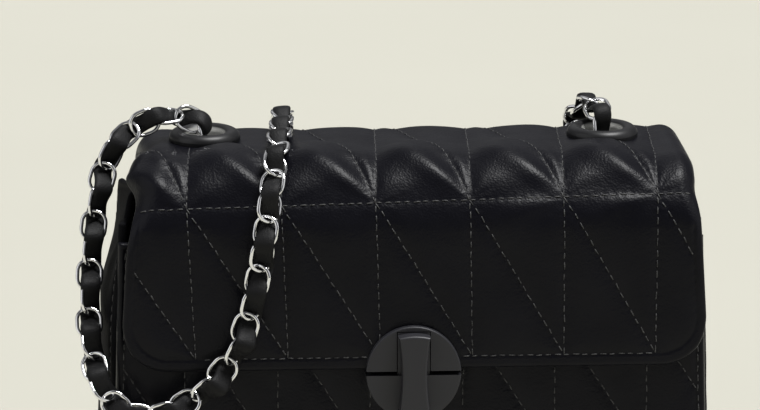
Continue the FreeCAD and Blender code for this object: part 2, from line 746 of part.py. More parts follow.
def make_eyelet(label, sign):
    """Domed ring with a barrel that goes down through the flap."""
    body = new_body(label)
    sketch = new_sketch(body, "section", "XZ_Plane")
    bore, outer = "size.eyelet_bore_radius", "size.eyelet_outer_radius"
    barrel = f"({bore} + size.barrel_wall)"
    foot, top = "size.eyelet_foot", "size.eyelet_height"
    crown = f"(({bore} + {outer}) / 2)"
    half = f"(({outer} - {bore}) / 2)"
    rise = f"({top} - {foot})"
    dome = f"(({half} ^ 2 + {rise} ^ 2) / (2 * {rise}))"
    bottom = f"-({FLAP_DEPTH} + size.layer_gap + size.washer_thickness)"
    add_loop(sketch, [
        (barrel, "0"), (outer, "0"), (outer, foot, dome, 1), (crown, top, dome, 1),
        (bore, foot), (bore, bottom), (barrel, bottom),
    ])
    revolve(body, sketch)
    tilt_body(body, sign)


def tilt_body(body, sign):
    """Seat an eyelet piece on the sloping crown."""
    body.Placement = FreeCAD.Placement(Vector(), FreeCAD.Rotation(Vector(1, 0, 0), value("size.crown_slope")))
    seat(body, f"{sign} * {EYELET_OFFSET}", SEAT_Y, SEAT_Z)
    body.setExpression("Placement.Rotation.Angle", "size.crown_slope")


def make_eyelet_washer(label, sign):
    body = new_body(label)
    sketch = new_sketch(body, "section", "XZ_Plane")
    inner = "(size.eyelet_bore_radius + size.barrel_wall + size.stem_fit)"
    top = f"-({FLAP_DEPTH} + size.layer_gap)"
    bottom = f"({top} - size.washer_thickness)"
    add_loop(sketch, rectangle(inner, "size.washer_radius", bottom, top))
    revolve(body, sketch)
    tilt_body(body, sign)


def half_disc(turn):
    """Half of the lock's round plate, above (1) or below (-1) the split."""
    level = f"(size.lock_height + {turn} * size.lock_split / 2)"
    reach = "sqrt(size.lock_radius ^ 2 - (size.lock_split / 2) ^ 2)"
    radius = "size.lock_radius"
    return [
        (f"{turn} * {reach}", level, radius, 1),
        ("0", f"size.lock_height + {turn} * size.lock_radius", radius, 1),
        (f"-{turn} * {reach}", level),
    ]


def round_plate(body, feature):
    face = -value(PLATE_FRONT)
    radius = value("size.lock_radius")
    round_edges(body, feature, "size.plate_edge_round",
                lambda edge: lies_on(edge, "y", face) and hasattr(edge.Curve, "Radius") and
                abs(edge.Curve.Radius - radius) < TOLERANCE)


def make_lock_upper_plate():
    body = new_body("lock_upper_plate")
    sketch = new_sketch(body, "disc", "XZ_Plane", FLAP_FRONT)
    add_loop(sketch, half_disc(1))
    disc = extrude(body, "Pad", sketch, "size.plate_thickness")
    round_plate(body, disc)
    notch = new_sketch(body, "notch", "XZ_Plane", f"({PLATE_FRONT} + size.overrun)")
    add_loop(notch, rectangle(f"-{NOTCH_HALF}", NOTCH_HALF, "size.lock_height - size.overrun", NOTCH_TOP))
    extrude(body, "Pocket", notch, "(size.plate_thickness + 2 * size.overrun)")
    drill(body, "rivet_seats", f"({FLAP_FRONT} + size.fastener_bite)",
          "(size.overrun + size.fastener_bite)", RIVET_PLACES, HOLE_RADIUS)


def make_lock_lower_plate():
    body = new_body("lock_lower_plate")
    sketch = new_sketch(body, "disc", "XZ_Plane", FRONT_FACE)
    add_loop(sketch, half_disc(-1))
    depth = f"({PLATE_FRONT} - {FRONT_FACE})"
    disc = extrude(body, "Pad", sketch, depth)
    round_plate(body, disc)
    tongue = new_sketch(body, "tongue", "XZ_Plane", FRONT_FACE)
    half = f"({NOTCH_HALF} - size.tongue_fit)"
    top = f"({NOTCH_TOP} - size.tongue_fit)"
    add_loop(tongue, rectangle(f"-{half}", half, "size.lock_height - size.lock_radius / 2", top))
    extrude(body, "Pad", tongue, depth)
    groove = new_sketch(body, "groove", "XZ_Plane", f"({PLATE_FRONT} - size.groove_depth)")
    low, high = (f"size.lock_height {sign} size.lock_split / 2" for sign in "-+")
    add_loop(groove, rectangle("-size.lock_radius", "size.lock_radius", low, high))
    extrude(body, "Pocket", groove, "(size.groove_depth + size.overrun)", reverse=True)
    start = f"({PLATE_FRONT} + size.overrun)"
    drill(body, "bore", start, f"({depth} + 2 * size.overrun)", [("0", "size.lock_height")],
          "(size.stem_radius + size.stem_fit)")
    drill(body, "screw_seats", f"({FRONT_FACE} + size.fastener_bite)",
          "(size.overrun + size.fastener_bite)", SCREW_PLACES, HOLE_RADIUS)


def make_lock_backing_plate():
    body = new_body("lock_backing_plate")
    sketch = new_sketch(body, "outline", "XZ_Plane", BACKING_FACE)
    half, drop = "size.backing_width / 2", "size.backing_depth / 2"
    middle = "(size.lock_height - size.screw_drop / 2)"
    add_loop(sketch, rectangle(f"-{half}", half, f"{middle} - {drop}", f"{middle} + {drop}"))
    extrude(body, "Pad", sketch, "size.backing_thickness")
    start = f"({PANEL_BACK} + size.overrun)"
    depth = "(size.backing_thickness + 2 * size.overrun)"
    drill(body, "stem_hole", start, depth, [("0", "size.lock_height")], "(size.stem_radius + size.fit_gap)")
    drill(body, "screw_holes", start, depth, SCREW_PLACES, HOLE_RADIUS)


def make_fasteners(label, places, head_face, tip):
    """Headed pins in one group: the heads point into the bag and the shanks to the front."""
    body = new_body(label)
    body.AllowCompound = True
    heads = new_sketch(body, "heads", "XZ_Plane", f"({head_face} - size.fastener_head)")
    shanks = new_sketch(body, "shanks", "XZ_Plane", f"({head_face} - size.fastener_head)")
    for across, up in places:
        add_circle(heads, across, up, "size.fastener_head_radius")
        add_circle(shanks, across, up, "size.fastener_radius")
    extrude(body, "Pad", heads, "size.fastener_head")
    extrude(body, "Pad", shanks, f"({tip} - {head_face} + size.fastener_head)")


def make_lock_screws():
    make_fasteners("lock_screws", SCREW_PLACES, BACKING_FACE, f"({FRONT_FACE} + size.fastener_bite)")


def make_lock_rivets():
    face = f"({FLAP_FRONT} - size.flap_skin + size.fastener_head)"
    make_fasteners("lock_rivets", RIVET_PLACES, face, f"({FLAP_FRONT} + size.fastener_bite)")


def make_turn_bar():
    """Hourglass bar across the lock, with a stem through the boss and the front panel."""
    body = new_body("turn_bar")
    outline = new_sketch(body, "outline", "XZ_Plane", BAR_BACK)
    end, waist = "size.bar_end_width / 2", "size.bar_waist_width / 2"
    shoulder = "(size.bar_half_length - size.bar_end_rise)"
    neck = f"({end} - {waist})"
    side = f"(({shoulder} ^ 2 + {neck} ^ 2) / (2 * {neck}))"
    cap = f"((({end}) ^ 2 + size.bar_end_rise ^ 2) / (2 * size.bar_end_rise))"
    middle = "size.lock_height"
    add_loop(outline, [
        (f"-{end}", f"{middle} - {shoulder}", cap, 1), (end, f"{middle} - {shoulder}", side, -1),
        (end, f"{middle} + {shoulder}", cap, 1), (f"-{end}", f"{middle} + {shoulder}", side, -1),
    ])
    bar = extrude(body, "Pad", outline, "size.bar_thickness")
    face = -value(f"({BAR_BACK} + size.bar_thickness)")
    round_edges(body, bar, "size.bar_edge_round", lambda edge: lies_on(edge, "y", face))
    stem = new_sketch(body, "stem", "XZ_Plane", BAR_BACK)
    add_circle(stem, "0", middle, "size.stem_radius")
    length = f"({BAR_BACK} - {BACKING_FACE} + size.layer_gap + size.clip_thickness)"
    extrude(body, "Pad", stem, length, reverse=True)


def make_turn_bar_clip():
    body = new_body("turn_bar_clip")
    sketch = new_sketch(body, "ring", "XZ_Plane", f"({BACKING_FACE} - size.layer_gap - size.clip_thickness)")
    add_circle(sketch, "0", "size.lock_height", "size.clip_radius")
    add_circle(sketch, "0", "size.lock_height", "size.stem_radius + size.stem_fit / 2")
    extrude(body, "Pad", sketch, "size.clip_thickness")


# The rings' bars lie in loops whose tabs rest on the lining's middle fold
TAB_FOOT = f"({RING_HEIGHT} - size.tab_length)"
LINING_SHIFT = "(size.gusset_thickness + size.fit_gap + size.lining_thickness)"
WALL_TILT = f"atan(({wall_fold(TAB_FOOT)} - {wall_fold(RING_HEIGHT)}) / size.tab_length)"
RING_SHIFT = f"(({LOOP_RADIUS} + size.fit_gap) / cos({WALL_TILT}))"
RING_X = f"({wall_fold(RING_HEIGHT)} - {LINING_SHIFT} - {RING_SHIFT})"


def make_strap_tab(label, sign):
    """Leather strip folded round the ring's bar and sewn to the wall."""
    body = new_body(label)
    strip = new_sketch(body, "strip", "XZ_Plane")
    wall = f"{sign} * {LOOP_RADIUS}"
    free = f"{sign} * ({LOOP_RADIUS} - 2 * size.tab_leather)"
    add_loop(strip, [(wall, "-size.tab_length"), (wall, "0"), (free, "0"), (free, "-size.tab_length")])
    extrude(body, "Pad", strip, "size.tab_width", both=True)
    loop = new_sketch(body, "loop", "XZ_Plane")
    add_circle(loop, "0", "0", LOOP_RADIUS)
    extrude(body, "Pad", loop, "size.tab_width", both=True)
    bore = new_sketch(body, "bore", "XZ_Plane")
    add_circle(bore, "0", "0", "(size.ring_wire / 2 + size.ring_fit)")
    extrude(body, "Pocket", bore, "(size.tab_width + size.overrun)", both=True)
    body.Placement = FreeCAD.Placement(Vector(), FreeCAD.Rotation(Vector(0, -int(sign), 0), value(WALL_TILT)))
    seat(body, f"{sign} * {RING_X}", "0", RING_HEIGHT)
    body.setExpression("Placement.Rotation.Angle", WALL_TILT)


def new_feature(label, shape):
    feature = doc.addObject("Part::Feature", label)
    feature.Label = label
    feature.Shape = shape
    return feature


def wire_ring(edges, start, direction, wire_radius):
    """Round wire bent along a closed path of lines and arcs."""
    profile = Part.Wire([Part.Circle(start, direction, wire_radius).toShape()])
    return Part.Wire(edges).makePipeShell([profile], True, False)


def make_d_ring(label, sign):
    """Ring with a straight bar below and a round bow above, in its own upright plane."""
    half, corner = value("size.ring_half_width"), value("size.ring_corner_radius")
    rise = value("size.ring_rise")
    shoulder = rise - half
    diagonal = math.sqrt(0.5)
    right_corner = Vector(0, half - corner * (1 - diagonal), corner * (1 - diagonal))
    left_corner = Vector(0, -right_corner.y, right_corner.z)
    spots = [Vector(0, corner - half, 0), Vector(0, half - corner, 0), Vector(0, half, corner),
             Vector(0, half, shoulder), Vector(0, -half, shoulder), Vector(0, -half, corner)]
    edges = [
        Part.LineSegment(spots[0], spots[1]).toShape(),
        Part.Arc(spots[1], right_corner, spots[2]).toShape(),
        Part.LineSegment(spots[2], spots[3]).toShape(),
        Part.Arc(spots[3], Vector(0, 0, rise), spots[4]).toShape(),
        Part.LineSegment(spots[4], spots[5]).toShape(),
        Part.Arc(spots[5], left_corner, spots[0]).toShape(),
    ]
    ring = new_feature(label, wire_ring(edges, spots[0], Vector(0, 1, 0), value("size.ring_wire / 2")))
    turn = FreeCAD.Rotation(Vector(0, -int(sign), 0), value("size.ring_lean"))
    place = Vector(int(sign) * value(RING_X), 0, value(RING_HEIGHT))
    ring.Placement = FreeCAD.Placement(place, turn)


def strap_twist(share):
    """Twist of the strap at a share of its length, in degrees."""
    for (start, low), (end, high) in zip(TWIST_SHARES, TWIST_SHARES[1:]):
        if share <= end:
            return low + (high - low) * (share - start) / (end - start)
    return TWIST_SHARES[-1][1]


def strap_joints():
    """Points where neighbouring links hook into each other, with the strap's outward direction there."""
    poles = [Vector(*spot) for spot in STRAP_ROUTE]
    knots = list(range(len(poles) - 1))
    mults = [3] + [1] * (len(knots) - 2) + [3]
    curve = Part.BSplineCurve()
    curve.buildFromPolesMultsKnots(poles, mults, knots, False, 2)
    count = round(curve.length() / value("size.link_pitch"))
    spacing = curve.length() / count
    joints = []
    outward = Vector(0, -1, 0)
    for index in range(count + 1):
        at = curve.parameterAtDistance(index * spacing)
        along = Vector(*curve.tangent(at)[0])
        outward = outward - along * outward.dot(along)
        outward.normalize()
        twist = FreeCAD.Rotation(along, strap_twist(index / count))
        joints.append((curve.value(at), along, twist.multVec(outward)))
    print(f"strap: {count} links, {curve.length():.1f} mm, spacing {spacing:.3f} mm")
    return joints


def link_shape():
    """One oblong link of round wire, long axis on X, lying flat in the XY plane."""
    wire = value("size.link_wire")
    bow = (value("size.link_width") - wire) / 2
    tip = (value("size.link_pitch + size.link_slack") + wire) / 2
    side = tip - bow
    spots = [Vector(-side, -bow, 0), Vector(side, -bow, 0), Vector(side, bow, 0), Vector(-side, bow, 0)]
    edges = [
        Part.LineSegment(spots[0], spots[1]).toShape(),
        Part.Arc(spots[1], Vector(tip, 0, 0), spots[2]).toShape(),
        Part.LineSegment(spots[2], spots[3]).toShape(),
        Part.Arc(spots[3], Vector(-tip, 0, 0), spots[0]).toShape(),
    ]
    return wire_ring(edges, spots[0], Vector(1, 0, 0), wire / 2)


def link_place(joints, index):
    """Placement of a link between two joints, rolled to alternate sides."""
    start, end = joints[index], joints[index + 1]
    along = (end[0] - start[0]).normalize()
    outward = start[2] + end[2]
    outward = (outward - along * outward.dot(along)).normalize()
    side = along.cross(outward)
    roll = math.radians(value("size.link_roll") * (1 if index % 2 else -1))
    across = side * math.cos(roll) + outward * math.sin(roll)
    face = along.cross(across)
    middle = (start[0] + end[0]) * 0.5
    turn = FreeCAD.Rotation(along, across, face, "XYZ")
    return FreeCAD.Placement(middle, turn)


def stretch_of(share):
    """The stretch of strap that lies at a share of its length."""
    return next(name for name, end_share in STRETCH_SHARES if share < end_share)


def lace_corners(joints, first, last):
    """Corners of the lace between the middles of two links, over and under at alternate joints."""
    rise, half = value("size.lace_rise"), value("size.lace_flat / 2")

    def crest(index):
        spot, along, outward = joints[index]
        lift = outward * (rise if index % 2 else -rise)
        return [spot + lift - along * half, spot + lift + along * half]

    def middle(index):
        return (crest(index)[1] + crest(index + 1)[0]) * 0.5

    crests = [spot for index in range(first + 1, last + 1) for spot in crest(index)]
    return [middle(first)] + crests + [middle(last)]


def lace_tube(corners):
    """Round lace along straight runs joined by tangent arcs."""
    radius = value("size.lace_radius")
    arc_share = 0.45
    edges = []
    start = corners[0]
    for before, corner, after in zip(corners, corners[1:], corners[2:]):
        back = before - corner
        ahead = after - corner
        turn = math.pi - back.getAngle(ahead)
        reach = arc_share * min(back.Length, ahead.Length)
        bend = reach / math.tan(turn / 2)
        back.normalize()
        ahead.normalize()
        first = corner + back * reach
        last = corner + ahead * reach
        inward = (back + ahead).normalize()
        middle = corner + inward * (math.hypot(bend, reach) - bend)
        edges.append(Part.LineSegment(start, first).toShape())
        edges.append(Part.Arc(first, middle, last).toShape())
        start = last
    edges.append(Part.LineSegment(start, corners[-1]).toShape())
    path = Part.Wire(edges)
    direction = corners[1] - corners[0]
    profile = Part.Wire([Part.Circle(corners[0], direction, radius).toShape()])
    tube = path.makePipeShell([profile], True, False)
    ratio = tube.Volume / (math.pi * radius ** 2 * path.Length)
    print(f"lace stretch: {path.Length:.1f} mm, volume over section times length {ratio:.4f}")
    return tube


def make_strap():
    """Links and lace of the strap, grouped by the stretch that they belong to."""
    joints = strap_joints()
    count = len(joints) - 1
    link = link_shape()
    links = {}
    runs = []
    for index in range(count):
        stretch = stretch_of((index + 0.5) / count)
        copy = link.copy()
        copy.Placement = link_place(joints, index)
        links.setdefault(stretch, []).append(copy)
        if not runs or runs[-1][0] != stretch:
            runs.append((stretch, index))
    laces = {}
    # The lace is sewn to itself one link short of each ring
    bare_links = 1
    breaks = [first for _, first in runs] + [count - 1 - bare_links]
    breaks[0] += bare_links
    for (stretch, _), first, last in zip(runs, breaks, breaks[1:]):
        laces.setdefault(stretch, []).append(lace_tube(lace_corners(joints, first, last)))
    for stretch, group in links.items():
        new_feature(f"strap_links_{stretch}", Part.makeCompound(group))
    for stretch, group in laces.items():
        new_feature(f"lace_{stretch}", Part.makeCompound(group))


make_front_panel()
make_back_panel()
make_base_panel()
make_base_board()
make_lining()
make_flap_panel()
make_flap_lining()
for side, side_sign in (("left", "-1"), ("right", "1")):
    make_gusset(f"{side}_gusset", side_sign)
    make_eyelet(f"{side}_eyelet", side_sign)
    make_eyelet_washer(f"{side}_eyelet_washer", side_sign)
    make_strap_tab(f"{side}_strap_tab", side_sign)
    make_d_ring(f"{side}_d_ring", side_sign)
make_lock_upper_plate()
make_lock_lower_plate()
make_lock_backing_plate()
make_lock_screws()
make_lock_rivets()
make_turn_bar()
make_turn_bar_clip()
make_strap()
doc.recompute()

failed = [item.Name for item in doc.Objects if {"Invalid", "Error"} & set(item.State)]
if failed:
    raise RuntimeError(f"objects failed: {failed}")
solid_types = ("PartDesign::Body", "Part::Feature")
pieces = [item for item in doc.Objects if item.TypeId in solid_types and item.Label != FLAP_BLANK]
for piece in pieces:
    if piece.Shape.isNull() or not piece.Shape.isValid() or not piece.Shape.Solids:
        raise RuntimeError(f"bad shape: {piece.Label}")
os.makedirs("parts", exist_ok=True)
for piece in pieces:
    piece.Shape.exportStep(f"parts/{piece.Label}.step")
print(f"{len(pieces)} pieces, {sum(len(piece.Shape.Solids) for piece in pieces)} solids")
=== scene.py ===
import json
import math

import bmesh
import bpy
import numpy as np
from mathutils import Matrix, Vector


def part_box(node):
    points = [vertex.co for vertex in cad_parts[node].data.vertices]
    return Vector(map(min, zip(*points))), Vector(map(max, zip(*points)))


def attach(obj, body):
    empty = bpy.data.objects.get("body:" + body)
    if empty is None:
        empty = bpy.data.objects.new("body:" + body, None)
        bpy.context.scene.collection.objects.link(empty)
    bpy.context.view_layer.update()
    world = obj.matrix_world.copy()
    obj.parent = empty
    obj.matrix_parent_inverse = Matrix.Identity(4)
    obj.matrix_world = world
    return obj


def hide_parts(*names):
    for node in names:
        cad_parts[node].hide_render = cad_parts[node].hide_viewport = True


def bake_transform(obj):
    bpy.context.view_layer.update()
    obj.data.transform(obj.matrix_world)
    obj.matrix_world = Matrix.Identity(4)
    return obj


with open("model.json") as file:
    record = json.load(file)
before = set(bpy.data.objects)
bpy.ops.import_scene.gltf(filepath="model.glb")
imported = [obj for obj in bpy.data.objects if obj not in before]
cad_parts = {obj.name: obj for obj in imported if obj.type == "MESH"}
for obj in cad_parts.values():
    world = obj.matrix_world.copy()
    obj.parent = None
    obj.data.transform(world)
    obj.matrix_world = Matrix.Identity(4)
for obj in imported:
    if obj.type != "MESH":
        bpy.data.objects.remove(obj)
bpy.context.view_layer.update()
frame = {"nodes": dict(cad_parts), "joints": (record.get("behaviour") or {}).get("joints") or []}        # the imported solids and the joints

# Looks of a quilted chain shoulder bag. Shapes are worked out in millimetres and stored in metres.
MM = 0.001
NODES = frame["nodes"]
JOINTS = {joint["name"]: joint for joint in frame["joints"]}
SCENE = bpy.context.scene


def box_mm(node):
    """Lowest and highest corner of a solid, in millimetres."""
    low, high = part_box(node)
    return np.array(low) / MM, np.array(high) / MM


# Sizes read from the frame
FLAP_LOW, FLAP_HIGH = box_mm("flap_panel")
FRONT_LOW, FRONT_HIGH = box_mm("front_panel")
BACK_LOW, BACK_HIGH = box_mm("back_panel")
BASE_LOW, BASE_HIGH = box_mm("base_panel")
GUSSET_LOW, GUSSET_HIGH = box_mm("right_gusset")
LINING_LOW, LINING_HIGH = box_mm("lining")
PLATE_LOW, PLATE_HIGH = box_mm("lock_upper_plate")
EYELET_LOW, EYELET_HIGH = box_mm("right_eyelet")
HINGE_Z = JOINTS["flap_hinge"]["pos_m"][2] / MM
LOCK_Z = JOINTS["turn_bar_turn"]["pos_m"][2] / MM


def smoothstep(x, low, high):
    share = np.clip((np.asarray(x, float) - low) / (high - low), 0.0, 1.0)
    return share * share * (3.0 - 2.0 * share)


def between(x, rise, fall):
    """One between two stretches, over which it rises from zero and falls back to zero."""
    return smoothstep(x, *rise) * (1.0 - smoothstep(x, *fall))


def unit(vectors):
    return vectors / np.linalg.norm(vectors, axis=-1, keepdims=True)


# Noise: how many waves it has, and how each wave's direction, rate and start follow from its number
NOISE_WAVES, NOISE_LEVEL = 7, 4.0
WAVE_TURN, WAVE_RATE, RATE_STEP, WAVE_START = 2.399, 0.6, 0.13, 1.3
SEED_TURN, SEED_START = 1.7, 5.1


def soft_noise(x, y, wavelength, seed):
    """Smooth uneven waves over a sheet, from about -1 to 1."""
    total = np.zeros(np.broadcast(x, y).shape)
    for turn in range(NOISE_WAVES):
        angle = seed * SEED_TURN + turn * WAVE_TURN
        rate = 2.0 * math.pi / wavelength * (WAVE_RATE + RATE_STEP * turn)
        along = x * math.cos(angle) + y * math.sin(angle)
        total += np.sin(along * rate + seed * SEED_START + turn * WAVE_START)
    return total / NOISE_LEVEL


# Materials: scales count repeats in a metre, and each bump has a strength and a depth in metres
PATCH_SCALE, GLOSS_SCALE, CREASE_SCALE, PORE_SCALE = 60.0, 140.0, 260.0, 2600.0
CREASE_BUMP, GRAIN_BUMP, PORE_BUMP = (0.45, 0.00025), (0.6, 0.00015), (0.15, 0.00005)
POLISH_SCALE, POLISH_BUMP = 320.0, (0.08, 0.00003)
WEAVE_SCALE, WEAVE_BUMP = 420.0, (0.3, 0.0001)
TWIST_AND_GLINT_SCALE, TWIST_BUMP = 1800.0, (0.4, 0.0001)
FLOOR_SCALE = 3.0


class Look:
    """A material that is put together from nodes."""

    def __init__(self, name):
        self.material = bpy.data.materials.new(name)
        self.material.use_nodes = True
        self.tree = self.material.node_tree

    def set_inputs(self, node, inputs):
        """Links a node's inputs to other nodes' outputs, or sets them to plain values."""
        for key, value in inputs.items():
            if isinstance(value, bpy.types.NodeSocket):
                self.tree.links.new(value, node.inputs[key])
            else:
                node.inputs[key].default_value = value

    def node(self, kind, inputs, **settings):
        """Outputs of a new node."""
        node = self.tree.nodes.new(kind)
        for key, setting in settings.items():
            setattr(node, key, setting)
        self.set_inputs(node, inputs)
        return node.outputs

    def place(self):
        """Places in the object's own space, so that the scales of textures are real sizes."""
        return self.node("ShaderNodeTexCoord", {})["Object"]

    def noise(self, scale, detail=3.0):
        inputs = {"Vector": self.place(), "Scale": scale, "Detail": detail}
        return self.node("ShaderNodeTexNoise", inputs)["Fac"]

    def grain(self, scale):
        """Height of fine leather grain: small rounded cells with creases between them."""
        inputs = {"Vector": self.place(), "Scale": scale}
        return self.node("ShaderNodeTexVoronoi", inputs, feature="SMOOTH_F1")["Distance"]

    def ramp(self, factor, low, high, dark, light):
        """Colour that runs from dark to light while the factor runs from low to high."""
        ramp = self.tree.nodes.new("ShaderNodeValToRGB")
        for element, position, colour in zip(ramp.color_ramp.elements, (low, high), (dark, light)):
            element.position = position
            element.color = (*colour, 1.0)
        self.set_inputs(ramp, {"Fac": factor})
        return ramp.outputs["Color"]

    def uneven(self, scale, low, high):
        """A value that wanders between two ends over the surface."""
        inputs = {"Value": self.noise(scale), "To Min": low, "To Max": high}
        return self.node("ShaderNodeMapRange", inputs)["Result"]

    def finish(self, inputs, layers=()):
        """Sets the shader, with bump from several heights in turn, each with a strength and a depth."""
        shader = self.tree.nodes["Principled BSDF"]
        self.set_inputs(shader, inputs)
        below = {}
        for height, strength, depth in layers:
            bump = {"Height": height, "Strength": strength, "Distance": depth}
            below = {"Normal": self.node("ShaderNodeBump", {**bump, **below})["Normal"]}
        self.set_inputs(shader, below)
        return self.material


def leather_material(name, dark, light, rough, specular, grain):
    """Black leather with fine grain, uneven gloss and soft creases."""
    look = Look(name)
    return look.finish({
        "Base Color": look.ramp(look.noise(PATCH_SCALE), 0.35, 0.7, dark, light),
        "Roughness": look.uneven(GLOSS_SCALE, *rough),
        "Specular IOR Level": specular,
    }, [
        (look.noise(CREASE_SCALE, 4.0), *CREASE_BUMP),
        (look.grain(grain), *GRAIN_BUMP),
        (look.noise(PORE_SCALE, 2.0), *PORE_BUMP),
    ])


def metal_material(name, colour, metallic, rough, specular, brush):
    """Metal or coated metal with a faint uneven polish."""
    look = Look(name)
    return look.finish({
        "Base Color": (*colour, 1.0),
        "Metallic": metallic,
        "Specular IOR Level": specular,
        "Roughness": look.uneven(POLISH_SCALE, *rough),
    }, [(look.noise(brush, 2.0), *POLISH_BUMP)])


def cloth_material(name, dark, light):
    """Fine lining cloth: two crossing sets of threads."""
    look = Look(name)
    inputs = {"Vector": look.place(), "Scale": WEAVE_SCALE}
    threads = [look.node("ShaderNodeTexWave", inputs, bands_direction=way)["Fac"] for way in ("X", "Z")]
    weave = look.node("ShaderNodeMath", dict(enumerate(threads)), operation="MAXIMUM")[0]
    return look.finish({
        "Base Color": look.ramp(weave, 0.2, 0.9, dark, light),
        "Roughness": 0.8,
        "Specular IOR Level": 0.2,
        "Sheen Weight": 0.15,
    }, [(weave, *WEAVE_BUMP)])


def thread_material():
    """Dark grey waxed thread with a twist; its lighter specks are partly uneven tone and partly painted
    glints where the thread catches light.
    """
    look = Look("thread")
    twist = look.noise(TWIST_AND_GLINT_SCALE, 1.0)
    return look.finish({
        # Lighter specks along the thread: partly uneven tone, partly painted glints where the thread catches
        # light
        "Base Color": look.ramp(twist, 0.3, 0.7, (0.008, 0.008, 0.009), (0.078, 0.078, 0.0784)),
        "Roughness": 0.5,
        "Specular IOR Level": 0.4,
    }, [(twist, *TWIST_BUMP)])


def eyelet_material(spot, bore, bright):
    """Black coat on the outside of an eyelet, and pale grey painted light within a radius near its bore,
    standing in for its lit inner wall.
    """
    look = Look("eyelet_coat_and_painted_light")
    place = look.node("ShaderNodeSeparateXYZ", {"Vector": look.place()})
    across = look.node("ShaderNodeMath", {0: place["X"]}, operation="ABSOLUTE")[0]
    flat = look.node("ShaderNodeCombineXYZ", {"X": across, "Y": place["Y"]})[0]
    centre = (spot[0], spot[1], 0.0)
    radius = look.node("ShaderNodeVectorMath", {0: flat, 1: centre}, operation="DISTANCE")["Value"]
    inputs = {"Value": radius, "From Min": bore, "From Max": bright}
    share = look.node("ShaderNodeMapRange", inputs)["Result"]
    return look.finish({
        # Pale grey near the bore is painted light of the lit inner wall; further out is the black coat
        "Base Color": look.ramp(share, 0.0, 1.0, (0.5, 0.5, 0.47), (0.008, 0.008, 0.009)),
        "Roughness": look.uneven(POLISH_SCALE, 0.36, 0.46),
        "Specular IOR Level": 0.35,
    })


def floor_material():
    """Pale even floor."""
    look = Look("pale_floor")
    dark, light = (0.466, 0.457, 0.396), (0.476, 0.467, 0.406)
    return look.finish({
        "Base Color": look.ramp(look.noise(FLOOR_SCALE), 0.3, 0.7, dark, light),
        "Roughness": 0.9,
        "Specular IOR Level": 0.1,
    })


LEATHER = leather_material("black_leather", (0.0021, 0.0021, 0.0042), (0.0034, 0.0034, 0.0058),
                           (0.32, 0.45), 0.145, 1500.0)
SIDE_LEATHER = leather_material("side_leather", (0.004, 0.004, 0.005), (0.006, 0.006, 0.007),
                                (0.72, 0.82), 0.06, 1500.0)
LACE_LEATHER = leather_material("lace_leather", (0.005, 0.005, 0.0055), (0.009, 0.009, 0.0095),
                                (0.5, 0.64), 0.16, 1800.0)
LINING_CLOTH = cloth_material("lining_cloth", (0.012, 0.012, 0.013), (0.035, 0.035, 0.038))
THREAD = thread_material()
CHROME = metal_material("chain_chrome", (0.83, 0.83, 0.84), 1.0, (0.05, 0.14), 0.5, 900.0)
LOCK_METAL = metal_material("lock_coat", (0.021, 0.021, 0.025), 0.0, (0.4, 0.5), 0.36, 1500.0)
EYELET_SPOT = (EYELET_LOW + EYELET_HIGH) / 2 * MM
EYELET_BORE = 6.6
# Out to this share of the bore's radius the eyelet's colour is pale grey painted light of its lit inner wall
PAINTED_LIGHT_SHARE = 1.12
EYELET_COAT_AND_PAINTED_LIGHT = eyelet_material(EYELET_SPOT, EYELET_BORE * MM, EYELET_BORE * MM * PAINTED_LIGHT_SHARE)
BLACK_METAL = metal_material("washer_coat", (0.01, 0.01, 0.011), 0.0, (0.34, 0.44), 0.45, 1500.0)
PLAIN_STEEL = metal_material("plain_steel", (0.5, 0.5, 0.52), 1.0, (0.25, 0.4), 0.5, 700.0)
BOARD = metal_material("fibre_board", (0.03, 0.03, 0.03), 0.0, (0.8, 0.9), 0.2, 400.0)


# Meshes

RIMS = (np.s_[0, :], np.s_[-1, :], np.s_[:, 0], np.s_[:, -1])


def dress(mesh, material):
    """Gives a mesh one material and smooth shading."""
    mesh.materials.clear()
    mesh.materials.append(material)
    mesh.polygons.foreach_set("use_smooth", [True] * len(mesh.polygons))


def place_mesh(name, mesh):
    piece = bpy.data.objects.new(name, mesh)
    SCENE.collection.objects.link(piece)
    return piece


def new_object(name, points, faces, material, body):
    """Mesh object from points in millimetres, smooth shaded, that rides on a body."""
    mesh = bpy.data.meshes.new(name)
    mesh.from_pydata((np.asarray(points) * MM).tolist(), [], faces)
    dress(mesh, material)
    mesh.update()
    piece = place_mesh(name, mesh)
    if body:
        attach(piece, body)
    return piece


def join_rims(outer, inner):
    """Brings the rims of an outer grid of points half way to an inner one."""
    for rim in RIMS:
        outer[rim] = (outer[rim] + inner[rim]) / 2.0


def shell(name, outer, inner, material, body, keep=None):
    """Closed sheet between two grids of points, joined at the first one's rims; keep leaves out holes."""
    rows, columns = outer.shape[:2]
    count = rows * columns
    if keep is None:
        keep = np.full((rows - 1, columns - 1), True)
    front = np.arange(count).reshape(rows, columns)
    back = front + count
    for rim in RIMS:
        back[rim] = front[rim]

    def corners(index):
        return np.stack([index[:-1, :-1], index[:-1, 1:], index[1:, 1:], index[1:, :-1]], axis=-1)

    ahead, behind = corners(front), corners(back)
    faces = ahead[keep].tolist() + behind[keep][:, ::-1].tolist()
    holed = np.pad(keep, 1, constant_values=True)
    for side, (down, across) in enumerate(((-1, 0), (0, 1), (1, 0), (0, -1))):
        beside = holed[1 + down:rows + down, 1 + across:columns + across]
        edge = keep & ~beside
        after = (side + 1) % 4
        walls = [ahead[..., after], ahead[..., side], behind[..., side], behind[..., after]]
        faces += np.stack(walls, axis=-1)[edge].tolist()
    points = np.concatenate([outer.reshape(-1, 3), inner.reshape(-1, 3)])
    used = np.unique(np.array(faces))
    place = np.full(len(points), -1)
    place[used] = np.arange(len(used))
    return new_object(name, points[used], place[np.array(faces)].tolist(), material, body)


